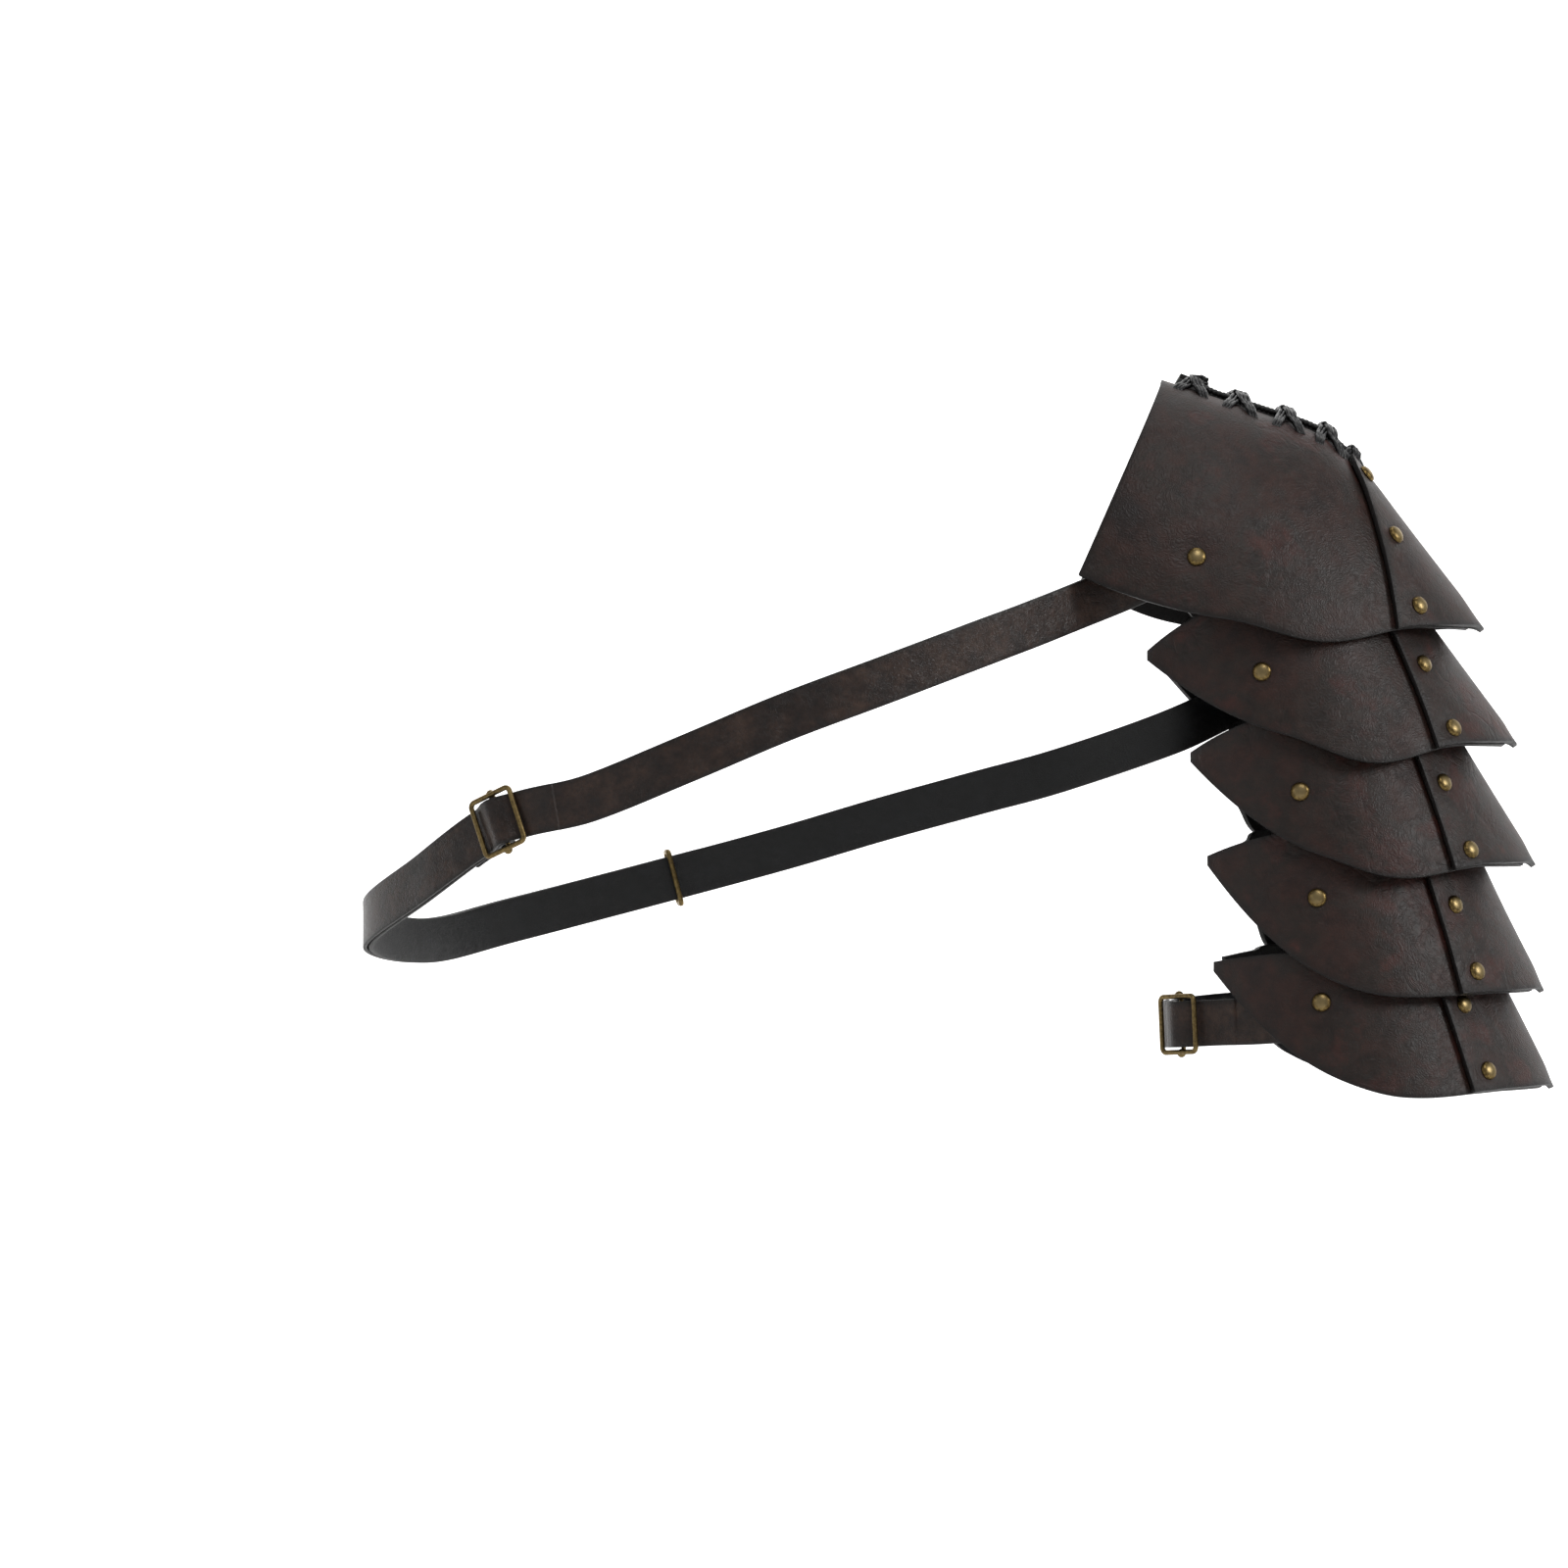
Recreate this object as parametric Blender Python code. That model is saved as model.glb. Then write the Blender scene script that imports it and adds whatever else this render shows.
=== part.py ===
"""Leather pauldron for the wearer's left shoulder, with its chest strap loop and its arm strap.

Metres, +Z up, +X away from the wearer's body, -Y to the wearer's front. The origin is where the
pauldron sits on the shoulder, under its ridge.
"""
import math

import bmesh
import bpy
from mathutils import Matrix, Vector

for old in list(bpy.data.objects):
    bpy.data.objects.remove(old, do_unlink=True)

# Leather and clearances
LAME_THICK = 0.0020
STRAP_THICK = 0.0018
STRAP_WIDTH = 0.0195
HANGER_WIDTH = 0.0110
GAP = 0.0005
LAP_GAP = 0.0010

# Overall sizes of the pauldron
REACH = 0.204
DROP = 0.302
SHOULDER_DEPTH = 0.066
ARM_DEPTH = 0.062
FLARE = 0.15
RIDGE_HALF_GAP = 0.0008
CORNER_HEIGHT = 0.004

# Chest loop, about the middle of the wearer's body
BODY_OFFSET = 0.200
CHEST_HALF_WIDTH = 0.177
CHEST_HALF_DEPTH = 0.106

# Hardware
CAP_RADIUS = 0.0040
CAP_HEIGHT = 0.0022
SHANK_RADIUS = 0.0014
HOLE_RADIUS = 0.0018
BACK_RADIUS = 0.0030
BACK_HEIGHT = 0.0010
SLIDER_WIRE = 0.0011
SLIDER_HALF_LENGTH = 0.0105
KNOB_RADIUS = 0.0019
RING_WIRE = 0.0012
CORD_RADIUS = 0.0010

# Lames: x and sag as shares of REACH and DROP, z as shares of DROP, depth as a share of ARM_DEPTH
#        tip x   tip z   corner x corner z crest x crest z  sag
LAMES = {
    1: (0.478, -0.239, -0.378, -0.169, 0.240, -0.032, 0.0230),
    2: (0.547, -0.403, -0.229, -0.286, 0.312, -0.186, 0.0265),
    3: (0.586, -0.572, -0.139, -0.428, 0.378, -0.348, 0.0166),
    4: (0.602, -0.750, -0.104, -0.573, 0.429, -0.514, 0.0033),
    5: (0.623, -0.886, -0.092, -0.721, 0.474, -0.687, 0.0066),
}
# Ridge of the shoulder lame: inner end x and z, fall along it, and fall of its outer shoulder
RIDGE_INNER_X = -0.188
RIDGE_INNER_Z = 0.114
RIDGE_FALL = 0.095
RIDGE_SHOULDER = 0.050
RIDGE_BEND = 0.33
DOME_ANGLE = math.radians(75)
# Share of the reach at which a lame is deepest: shoulder lame, arm lames
DEEPEST = {1: 0.65, 2: 0.55, 3: 0.55, 4: 0.55, 5: 0.55}
# The rear half's corner lies this far out from the front half's, so it is hidden behind it
REAR_SHORT = {1: 0.0075, 2: 0.0105, 3: 0.0110, 4: 0.0115, 5: 0.0115}
REAR_SHORT_FROM = 0.72
FRONT_START = math.radians(18)
FLAP_TOP = {1: math.radians(30), 2: math.radians(44), 3: math.radians(50), 4: math.radians(54), 5: math.radians(56)}
FLAP_FOOT = {1: math.radians(50), 2: math.radians(56), 3: math.radians(59), 4: math.radians(60), 5: math.radians(59)}
FLAP_MARGIN = math.radians(8)
# Heights of the seam rivets down each flap, 0 at its top and 1 at its foot
SEAM_ROWS = {1: (0.30, 0.68, 0.94), 2: (0.50, 0.91), 3: (0.50, 0.91), 4: (0.49, 0.88), 5: (0.41, 0.87)}
# Front and rear rivets: x as a share of REACH and z as a share of DROP
FRONT_RIVETS = {1: (-0.140, -0.143), 2: (0.002, -0.303), 3: (0.079, -0.470), 4: (0.109, -0.617), 5: (0.121, -0.762)}
REAR_RIVETS = {1: (-0.140, -0.143), 2: (0.016, -0.331), 3: (0.079, -0.470), 4: (0.109, -0.617), 5: (0.121, -0.762)}
# Chest loop from the front rivet round to the rear rivet: shares of half width, half depth, DROP
CHEST_ROUTE = (
    (0.773, -0.415, -0.193), (0.599, -0.600, -0.235), (0.458, -0.765, -0.267), (0.227, -0.925, -0.319),
    (0.000, -0.981, -0.369), (-0.227, -0.962, -0.425), (-0.455, -0.868, -0.479), (-0.654, -0.708, -0.511),
    (-0.850, -0.425, -0.590), (-1.000, 0.000, -0.659), (-0.880, 0.472, -0.686), (-0.672, 0.802, -0.658),
    (-0.278, 0.981, -0.598), (0.000, 1.000, -0.554), (0.248, 0.972, -0.511), (0.494, 0.868, -0.471),
    (0.690, 0.730, -0.439), (0.950, 0.440, -0.385),
)
CHEST_SLIDER_AT = (-0.654, -0.708, -0.511)
CHEST_RING_AT = (-0.278, 0.981, -0.598)
CHEST_TAIL = 0.014
# Arm loop from the front rivet round the inside of the arm: shares of REACH, ARM_DEPTH, DROP
ARM_ROUTE = (
    (0.000, -0.620, -0.790), (-0.070, -0.450, -0.793), (-0.140, -0.270, -0.797), (-0.172, 0.000, -0.800),
    (-0.140, 0.270, -0.797), (-0.070, 0.450, -0.793), (0.000, 0.620, -0.790),
)
ARM_SLIDER_AT = (-0.140, -0.270, -0.797)
ARM_TAIL = 0.030
# Lacing knots along the ridge, 0 at its outer end and 1 at its inner end
KNOTS = (0.09, 0.21, 0.40, 0.63, 0.86)
KNOT_HALF_LENGTH = 0.0070
KNOT_HALF_SPREAD = 0.0062

LAYER = STRAP_THICK + 1.5 * GAP
# A hanging strap behind a strap that bends away stands further in
UNDER_LAYER = LAYER + 6 * GAP


def material(name, colour, roughness, metallic):
    mat = bpy.data.materials.new(name)
    mat.use_nodes = True
    shader = mat.node_tree.nodes["Principled BSDF"]
    shader.inputs["Base Color"].default_value = (*colour, 1.0)
    shader.inputs["Roughness"].default_value = roughness
    shader.inputs["Metallic"].default_value = metallic
    return mat


LAME_LEATHER = material("lame_leather", (0.055, 0.032, 0.022), 0.5, 0.0)
STRAP_LEATHER = material("strap_leather", (0.045, 0.026, 0.018), 0.45, 0.0)
BRASS = material("antique_brass", (0.33, 0.22, 0.10), 0.35, 1.0)
CORD = material("waxed_cord", (0.010, 0.010, 0.010), 0.35, 0.0)


def add_object(name, bm, mat):
    mesh = bpy.data.meshes.new(name)
    bm.to_mesh(mesh)
    bm.free()
    mesh.materials.append(mat)
    mesh.shade_smooth()
    mesh.set_sharp_from_angle(angle=math.radians(40))
    obj = bpy.data.objects.new(name, mesh)
    bpy.context.scene.collection.objects.link(obj)
    return obj


def sheet(name, columns, rows, point, thickness, side, mat):
    """A leather sheet: a grid bent by point(u, v) and given its thickness. side 0 is about its middle."""
    bm = bmesh.new()
    bmesh.ops.create_grid(bm, x_segments=columns, y_segments=rows, size=0.5)
    for vert in bm.verts:
        vert.co = point(vert.co.x + 0.5, vert.co.y + 0.5)
    obj = add_object(name, bm, mat)
    solidify = obj.modifiers.new("thickness", "SOLIDIFY")
    solidify.thickness = thickness
    solidify.offset = side
    return obj


def smooth(share):
    share = min(1.0, max(0.0, share))
    return share * share * (3 - 2 * share)


def end_angle(lame):
    return math.acos(1 - 1 / DEEPEST[lame])


def ridge_height(share):
    shoulder = max(0.0, (RIDGE_BEND - share) / RIDGE_BEND)
    return DROP * (RIDGE_INNER_Z - RIDGE_FALL * (1 - share) - RIDGE_SHOULDER * shoulder ** 2.2)


def lame_surface(lame, angle, down):
    """Point on a lame's base surface: angle 0 on its crest, below 0 on the front, down 0 at its top."""
    tip_x, tip_z, corner_x, corner_z, crest_x, crest_z, sag = LAMES[lame]
    turn = abs(angle)
    side = -1 if angle < 0 else 1
    share = DEEPEST[lame] * (1 - math.cos(turn))
    depth = math.sin(turn)
    if turn < math.pi / 2:
        depth *= 0.5 + 0.5 * math.sin(turn)
    rise = max(0.0, (share - 0.45) / 0.55) ** 2.2
    hang = math.sin(math.pi * min(1.0, max(0.0, (share - 0.15) / 0.50))) ** 2
    short = 0.0
    if side > 0:
        short = REAR_SHORT[lame] * smooth((share - REAR_SHORT_FROM) / (1 - REAR_SHORT_FROM))
    foot_x = REACH * (tip_x - share * (tip_x - corner_x))
    foot_z = DROP * (tip_z + (corner_z - tip_z) * rise - sag * hang)
    if lame == 1:
        top_x = REACH * (crest_x + share * (RIDGE_INNER_X - crest_x))
        top_z = ridge_height(share)
        dome = down * DOME_ANGLE
        fall = (1 - math.cos(dome)) / (1 - math.cos(DOME_ANGLE))
        reach_out = SHOULDER_DEPTH * depth * math.sin(dome) / math.sin(DOME_ANGLE)
        reach_out += RIDGE_HALF_GAP * min(1.0, turn / FRONT_START)
        x = top_x + (foot_x - top_x) * fall + short
        return Vector((x, side * reach_out, top_z + (foot_z - top_z) * fall))
    top_x = REACH * (crest_x - share * (crest_x - corner_x))
    top_z = DROP * corner_z + CORNER_HEIGHT + (DROP * (crest_z - corner_z) - CORNER_HEIGHT) * (1 - share ** 4)
    x = top_x + (foot_x - top_x) * down + short
    z = top_z + (foot_z - top_z) * down
    reach_out = (ARM_DEPTH - FLARE * (z - DROP * tip_z)) * depth
    return Vector((x, side * reach_out, z))


def lame_normal(lame, angle, down):
    step = 0.01
    down = min(0.99, max(0.03, down))
    along = lame_surface(lame, angle + step, down) - lame_surface(lame, angle - step, down)
    across = lame_surface(lame, angle, down + step) - lame_surface(lame, angle, down - step)
    return across.cross(along).normalized()


def flap_angle(lame, down):
    return FLAP_TOP[lame] + (FLAP_FOOT[lame] - FLAP_TOP[lame]) * down


def outside(lame, angle, down, offset):
    return lame_surface(lame, angle, down) + lame_normal(lame, angle, down) * offset


FLAP_COLUMNS = 4
REAR_COLUMNS = 11


def front_plate(lame):
    rows = 9 if lame == 1 else 5
    last = end_angle(lame)

    def point(u, v):
        return outside(lame, -(last + (FRONT_START - last) * u), 1 - v, 0.0)

    return sheet(f"front_plate_{lame}", 12, rows, point, LAME_THICK, -1, LAME_LEATHER)


def rear_plate(lame):
    rows = 9 if lame == 1 else 5
    columns = FLAP_COLUMNS + REAR_COLUMNS
    last = end_angle(lame)

    def point(u, v):
        down = 1 - v
        column = u * columns
        if column < FLAP_COLUMNS:
            angle = -flap_angle(lame, down) * (1 - column / FLAP_COLUMNS)
        else:
            angle = last * (column - FLAP_COLUMNS) / REAR_COLUMNS
        return outside(lame, angle, down, LAP_GAP + LAME_THICK)

    obj = sheet(f"rear_plate_{lame}", columns, rows, point, LAME_THICK, -1, LAME_LEATHER)
    if lame == 1:
        bm = bmesh.new()
        bm.from_mesh(obj.data)
        bm.verts.ensure_lookup_table()
        top = [f for f in bm.faces if min(v.index for v in f.verts) >= (columns + 1) * (rows - 1)
               and min(v.index % (columns + 1) for v in f.verts) < FLAP_COLUMNS]
        bmesh.ops.delete(bm, geom=top, context="FACES")
        bm.to_mesh(obj.data)
        bm.free()
    return obj


plates = {}
for number in LAMES:
    plates["front", number] = front_plate(number)
    plates["rear", number] = rear_plate(number)


def turned(name, profile, steps, place, mat):
    """A solid turned about its own Z from a profile of (radius, height), then set in place."""
    bm = bmesh.new()
    verts = [bm.verts.new((radius, 0, height)) for radius, height in profile]
    edges = [bm.edges.new(pair) for pair in zip(verts, verts[1:])]
    bmesh.ops.spin(bm, geom=verts + edges, cent=(0, 0, 0), axis=(0, 0, 1), angle=math.tau,
                   steps=steps, use_merge=True)
    bmesh.ops.remove_doubles(bm, verts=bm.verts, dist=1e-6)
    bmesh.ops.recalc_face_normals(bm, faces=bm.faces)
    bmesh.ops.transform(bm, matrix=place, verts=bm.verts)
    return add_object(name, bm, mat)


def facing(point, normal):
    return Matrix.Translation(point) @ normal.to_track_quat("Z", "Y").to_matrix().to_4x4()


holes = {}


def rivet(name, seat, normal, grip, drilled):
    """A cap rivet whose cap sits on seat, holding layers grip thick. drilled are the pieces it passes."""
    back = -grip - GAP
    profile = [(0.0, CAP_HEIGHT + GAP)]
    for lean in (math.radians(48), math.radians(90)):
        profile.append((CAP_RADIUS * math.sin(lean), GAP + CAP_HEIGHT * (0.3 + 0.7 * math.cos(lean))))
    profile += [(CAP_RADIUS, GAP), (SHANK_RADIUS, GAP), (SHANK_RADIUS, back), (BACK_RADIUS, back)]
    profile += [(BACK_RADIUS / 2, back - BACK_HEIGHT), (0.0, back - BACK_HEIGHT)]
    turned(name, profile, 10, facing(seat, normal), BRASS)
    for piece in drilled:
        holes.setdefault(piece, []).append((facing(seat - normal * grip / 2, normal), grip + 4 * CAP_HEIGHT))


def locate(lame, side, x, z):
    """The angle and height on a lame where it passes x and z."""
    best = None
    last = end_angle(lame)
    for a in range(20, 100):
        for d in range(2, 100):
            angle = side * last * a / 100
            spot = lame_surface(lame, angle, d / 100)
            miss = (spot.x - x) ** 2 + (spot.z - z) ** 2
            if best is None or miss < best[0]:
                best = (miss, angle, d / 100)
    return best[1], best[2]


def seats(rivets, side):
    """Each row's place on its lame: base point, outward normal, angle and height."""
    found = {}
    for lame, (x, z) in rivets.items():
        angle, down = locate(lame, side, x * REACH, z * DROP)
        found[lame] = (lame_surface(lame, angle, down), lame_normal(lame, angle, down), angle, down)
    return found


FRONT_SEATS = seats(FRONT_RIVETS, -1)
REAR_SEATS = seats(REAR_RIVETS, 1)
# Distance from the base surface to a lame's inner face, and to its outer face
INNER_FACE = {-1: -LAME_THICK, 1: LAP_GAP}
OUTER_FACE = {-1: 0.0, 1: LAP_GAP + LAME_THICK}
# A flat strap in a curved lame stands off by its own bow
BOW = 0.0014
SEAT_LEAD = 0.0080

for lame, rows in SEAM_ROWS.items():
    for row, down in enumerate(rows, 1):
        angle = -(flap_angle(lame, down) - FLAP_MARGIN)
        normal = lame_normal(lame, angle, down)
        seat = outside(lame, angle, down, LAP_GAP + LAME_THICK)
        rivet(f"seam_rivet_{lame}_{row}", seat, normal, 2 * LAME_THICK + LAP_GAP,
              (f"front_plate_{lame}", f"rear_plate_{lame}"))


def curve_through(points, parts=12):
    """Points of a smooth curve through the given ones."""
    padded = [points[0] * 2 - points[1], *points, points[-1] * 2 - points[-2]]
    curve = []
    for a, b, c, d in zip(padded, padded[1:], padded[2:], padded[3:]):
        for step in range(parts):
            t = step / parts
            curve.append(0.5 * (2 * b + (c - a) * t + (2 * a - 5 * b + 4 * c - d) * t * t
                                + (3 * b - a - 3 * c + d) * t ** 3))
    return curve + [points[-1]]


class Route:
    """A strap's route, read by the length along it, with its outward side and its width direction."""

    def __init__(self, points, first_normal=None, last_normal=None, blend=0.045):
        self.points = curve_through(points)
        self.lengths = [0.0]
        for a, b in zip(self.points, self.points[1:]):
            self.lengths.append(self.lengths[-1] + (b - a).length)
        self.total = self.lengths[-1]
        self.first_normal = first_normal
        self.last_normal = last_normal
        self.blend = blend

    def at(self, length):
        if length <= 0:
            return self.points[0] + (self.points[1] - self.points[0]).normalized() * length
        for index, here in enumerate(self.lengths[1:]):
            if length <= here:
                share = (length - self.lengths[index]) / (here - self.lengths[index])
                return self.points[index].lerp(self.points[index + 1], share)
        return self.points[-1] + (self.points[-1] - self.points[-2]).normalized() * (length - self.total)

    def frame(self, length):
        reach = 0.003
        tangent = (self.at(length + reach) - self.at(length - reach)).normalized()
        normal = Vector((0, 0, 1)).cross(tangent).normalized()
        if self.first_normal:
            normal = self.first_normal.lerp(normal, smooth(length / self.blend))
        if self.last_normal:
            normal = self.last_normal.lerp(normal, smooth((self.total - length) / self.blend))
        normal = (normal - tangent * normal.dot(tangent)).normalized()
        return self.at(length), tangent, normal, normal.cross(tangent).normalized()

    def nearest(self, point):
        misses = [(p - point).length for p in self.points]
        return self.lengths[misses.index(min(misses))]


def strap(name, track, route, width, mat=STRAP_LEATHER):
    """A strap whose middle follows track, a list of (length along the route, height off it)."""
    spots = []
    for length, height in track:
        place, _, normal, across = route.frame(length)
        spots.append((place + normal * height, across))

    def point(u, v):
        place, across = spots[round(v * (len(spots) - 1))]
        return place + across * (u - 0.5) * width

    return sheet(name, 1, len(spots) - 1, point, STRAP_THICK, 0, mat)


def steps_between(start, stop, step):
    count = max(1, round(abs(stop - start) / step))
    return [start + (stop - start) * i / count for i in range(count + 1)]


OVER_BAR = SLIDER_WIRE + GAP + STRAP_THICK / 2
BAR_HEIGHT = OVER_BAR
FRAME_HEIGHT = LAYER + STRAP_THICK / 2 + GAP + SLIDER_WIRE


def over_slider(length, slider):
    """Height of the outer strap: under the frame's ends and over the wrapped bar."""
    share = (length - slider) / SLIDER_HALF_LENGTH
    hump = BAR_HEIGHT + OVER_BAR
    return LAYER + hump * math.cos(math.pi / 2 * share) ** 2 if abs(share) < 1 else LAYER


def strap_pair(label, route, slider, outer_end, step):
    """The outer strap, and the inner strap that wraps the slider's bar and folds back under itself."""
    outer = [(length, 0.0) for length in steps_between(-0.008, slider - 0.030, step)]
    outer = [(length, LAYER * smooth((length - slider + 0.045) / 0.030)) for length, _ in outer]
    outer += [(length, over_slider(length, slider)) for length in steps_between(slider - 0.026, slider + 0.012, 0.0013)]
    outer += [(length, LAYER) for length in steps_between(slider + 0.016, outer_end, step)]
    strap(f"{label}_strap_front", outer, route, STRAP_WIDTH)
    inner = [(length, 0.0) for length in steps_between(route.total + 0.008, slider + 0.016, step)]
    inner += [(length, over_slider(length, slider) - LAYER)
              for length in steps_between(slider + 0.012, slider + 0.0006, 0.0011)]
    for turn in range(1, 10):
        angle = math.pi * turn / 10
        inner.append((slider - OVER_BAR * math.sin(angle), BAR_HEIGHT + OVER_BAR * math.cos(angle)))
    for along in steps_between(0.0004, 0.024, 0.0016):
        drop = smooth(along / SLIDER_HALF_LENGTH)
        inner.append((slider + along, BAR_HEIGHT - OVER_BAR - (BAR_HEIGHT - OVER_BAR + LAYER) * drop))
    strap(f"{label}_strap_rear", inner, route, STRAP_WIDTH)


WIRE_SIDES = 6


def wire_loop(corners, radius, bend):
    """A closed wire bent round four corners given in a plane, as a mesh."""
    half_long, half_wide = corners
    path = []
    for quarter in range(4):
        sign_x = (1, -1, -1, 1)[quarter]
        sign_y = (1, 1, -1, -1)[quarter]
        for step in range(4):
            angle = math.pi / 2 * (quarter + step / 3)
            path.append(Vector((sign_x * (half_long - bend) + bend * math.cos(angle),
                                sign_y * (half_wide - bend) + bend * math.sin(angle), 0)))
    bm = bmesh.new()
    rings = []
    for index, spot in enumerate(path):
        ahead = (path[(index + 1) % len(path)] - path[index - 1]).normalized()
        side = ahead.cross(Vector((0, 0, 1)))
        ring = []
        for turn in range(WIRE_SIDES):
            lean = math.tau * turn / WIRE_SIDES
            ring.append(bm.verts.new(spot + radius * (math.cos(lean) * side + math.sin(lean) * Vector((0, 0, 1)))))
        rings.append(ring)
    for index, ring in enumerate(rings):
        after = rings[(index + 1) % len(rings)]
        for turn in range(WIRE_SIDES):
            beside = (turn + 1) % WIRE_SIDES
            bm.faces.new((ring[turn], ring[beside], after[beside], after[turn]))
    bmesh.ops.recalc_face_normals(bm, faces=bm.faces)
    return bm


def union(base, tool_bm, name):
    """Joins a mesh to an object through a hidden guide and a Boolean."""
    guide = add_object(name, tool_bm, BRASS)
    guide.hide_render = True
    guide.display_type = "WIRE"
    join = base.modifiers.new(name, "BOOLEAN")
    join.operation = "UNION"
    join.object = guide
    return guide


def frame_matrix(route, length, height):
    place, tangent, normal, across = route.frame(length)
    basis = Matrix((tangent, across, normal)).transposed().to_4x4()
    return Matrix.Translation(place + normal * height) @ basis


def slider_buckle(name, route, length):
    place = frame_matrix(route, length, FRAME_HEIGHT)
    low = Matrix.Translation((0, 0, BAR_HEIGHT - FRAME_HEIGHT))
    half_wide = STRAP_WIDTH / 2 + 2 * GAP + SLIDER_WIRE
    bm = wire_loop((SLIDER_HALF_LENGTH, half_wide), SLIDER_WIRE, 2 * SLIDER_WIRE)
    bmesh.ops.transform(bm, matrix=place, verts=bm.verts)
    frame = add_object(name, bm, BRASS)
    bar = bmesh.new()
    turn = Matrix.Rotation(math.pi / 2, 4, "X")
    bmesh.ops.create_cone(bar, cap_ends=True, segments=10, radius1=SLIDER_WIRE * 0.9, radius2=SLIDER_WIRE * 0.9,
                          depth=2 * half_wide, matrix=place @ low @ turn)
    union(frame, bar, f"{name}_bar_guide")
    for sign, label in ((-1, "low"), (1, "high")):
        knob = bmesh.new()
        spot = Matrix.Translation((0, sign * (half_wide + SLIDER_WIRE * 0.4), (BAR_HEIGHT - FRAME_HEIGHT) / 2))
        bmesh.ops.create_uvsphere(knob, u_segments=10, v_segments=6, radius=KNOB_RADIUS, matrix=place @ spot)
        union(frame, knob, f"{name}_knob_{label}_guide")


def keeper_ring(name, route, length):
    thick = 2 * STRAP_THICK + GAP
    half_thick = thick / 2 + 1.2 * GAP + RING_WIRE
    half_wide = STRAP_WIDTH / 2 + 2 * GAP + RING_WIRE
    bm = wire_loop((half_thick, half_wide), RING_WIRE, 1.5 * RING_WIRE)
    place, tangent, normal, across = route.frame(length)
    basis = Matrix((normal, across, -tangent)).transposed().to_4x4()
    middle = place + normal * LAYER / 2
    bmesh.ops.transform(bm, matrix=Matrix.Translation(middle) @ basis, verts=bm.verts)
    add_object(name, bm, BRASS)


def inside_seat(seat, side, layers):
    """Middle of the strap that lies under a lame at a rivet, with layers straps between them."""
    return seat[0] + seat[1] * (INNER_FACE[side] - GAP - BOW - STRAP_THICK / 2 - layers * UNDER_LAYER)


def lead_in(seat, normal, toward):
    """A point a short way along the lame's own slope, so that a strap leaves its rivet flat."""
    way = toward - seat
    way -= normal * way.dot(normal)
    return seat + way.normalized() * SEAT_LEAD


def closed_route(seat_pair, normals, points, blend):
    first = [seat_pair[0], lead_in(seat_pair[0], normals[0], points[0])]
    last = [lead_in(seat_pair[1], normals[1], points[-1]), seat_pair[1]]
    return Route([*first, *points, *last], normals[0], normals[1], blend)


def chest_point(row):
    return Vector((row[0] * CHEST_HALF_WIDTH - BODY_OFFSET, row[1] * CHEST_HALF_DEPTH, row[2] * DROP))


def arm_point(row):
    return Vector((row[0] * REACH, row[1] * ARM_DEPTH, row[2] * DROP))


chest = closed_route((inside_seat(FRONT_SEATS[1], -1, 0), inside_seat(REAR_SEATS[2], 1, 0)),
                     (FRONT_SEATS[1][1], REAR_SEATS[2][1]), [chest_point(row) for row in CHEST_ROUTE], 0.045)
chest_slider = chest.nearest(chest_point(CHEST_SLIDER_AT))
chest_ring = chest.nearest(chest_point(CHEST_RING_AT))
strap_pair("chest", chest, chest_slider, chest_ring + CHEST_TAIL, 0.008)
slider_buckle("chest_slider", chest, chest_slider)
keeper_ring("keeper_ring", chest, chest_ring)

ARM_DROP = 0.006
arm_ends = [inside_seat(FRONT_SEATS[5], -1, 0), inside_seat(REAR_SEATS[5], 1, 0)]
arm_ends = [end - Vector((0, 0, ARM_DROP)) for end in arm_ends]
arm = closed_route(arm_ends, (FRONT_SEATS[5][1], REAR_SEATS[5][1]), [arm_point(row) for row in ARM_ROUTE], 0.030)
arm_slider = arm.nearest(arm_point(ARM_SLIDER_AT))
strap_pair("arm", arm, arm_slider, arm_slider + ARM_TAIL, 0.006)
slider_buckle("arm_slider", arm, arm_slider)


SEAT_FLAT = 0.0055
# Where, between two rivets, a hanging strap passes the next lame's top edge
CROSSING_SHARE = 0.65


def angle_at_top(lame, side, x):
    """The angle at which a lame's top edge passes x."""
    corner_x, crest_x = LAMES[lame][2], LAMES[lame][4]
    share = (crest_x * REACH - x) / (REACH * (crest_x - corner_x))
    return side * math.acos(1 - share / DEEPEST[lame])


def hanging_strap(name, places, side, layered):
    """The strap that carries the lames: behind each rivet, and inside the top edge of the next lame."""
    points = []
    normals = []
    for lame in LAMES:
        if lame > 1:
            middle = places[lame][0].x + (places[lame - 1][0].x - places[lame][0].x) * CROSSING_SHARE
            angle = angle_at_top(lame, side, middle)
            edge = lame_surface(lame, angle, 0.0)
            outward = lame_normal(lame, angle, 0.0)
            off = INNER_FACE[side] - 2 * GAP - BOW - STRAP_THICK / 2
            points.append(edge + outward * off)
            normals.append(outward)
        layers = 1 if lame in layered else 0
        _, normal, angle, down = places[lame]
        along = (lame_surface(lame, angle, down + 0.05) - lame_surface(lame, angle, down - 0.05)).normalized()
        for way in (-1, 1):
            points.append(inside_seat(places[lame], side, layers) + along * way * SEAT_FLAT)
            normals.append(normal)
    spots = curve_through(points, 2)
    facing_out = curve_through(normals, 2)

    def point(u, v):
        index = round(v * (len(spots) - 1))
        ahead = spots[min(index + 1, len(spots) - 1)] - spots[max(index - 1, 0)]
        return spots[index] + facing_out[index].cross(ahead).normalized() * (u - 0.5) * HANGER_WIDTH

    sheet(name, 1, len(spots) - 1, point, STRAP_THICK, 0, STRAP_LEATHER)


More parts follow.
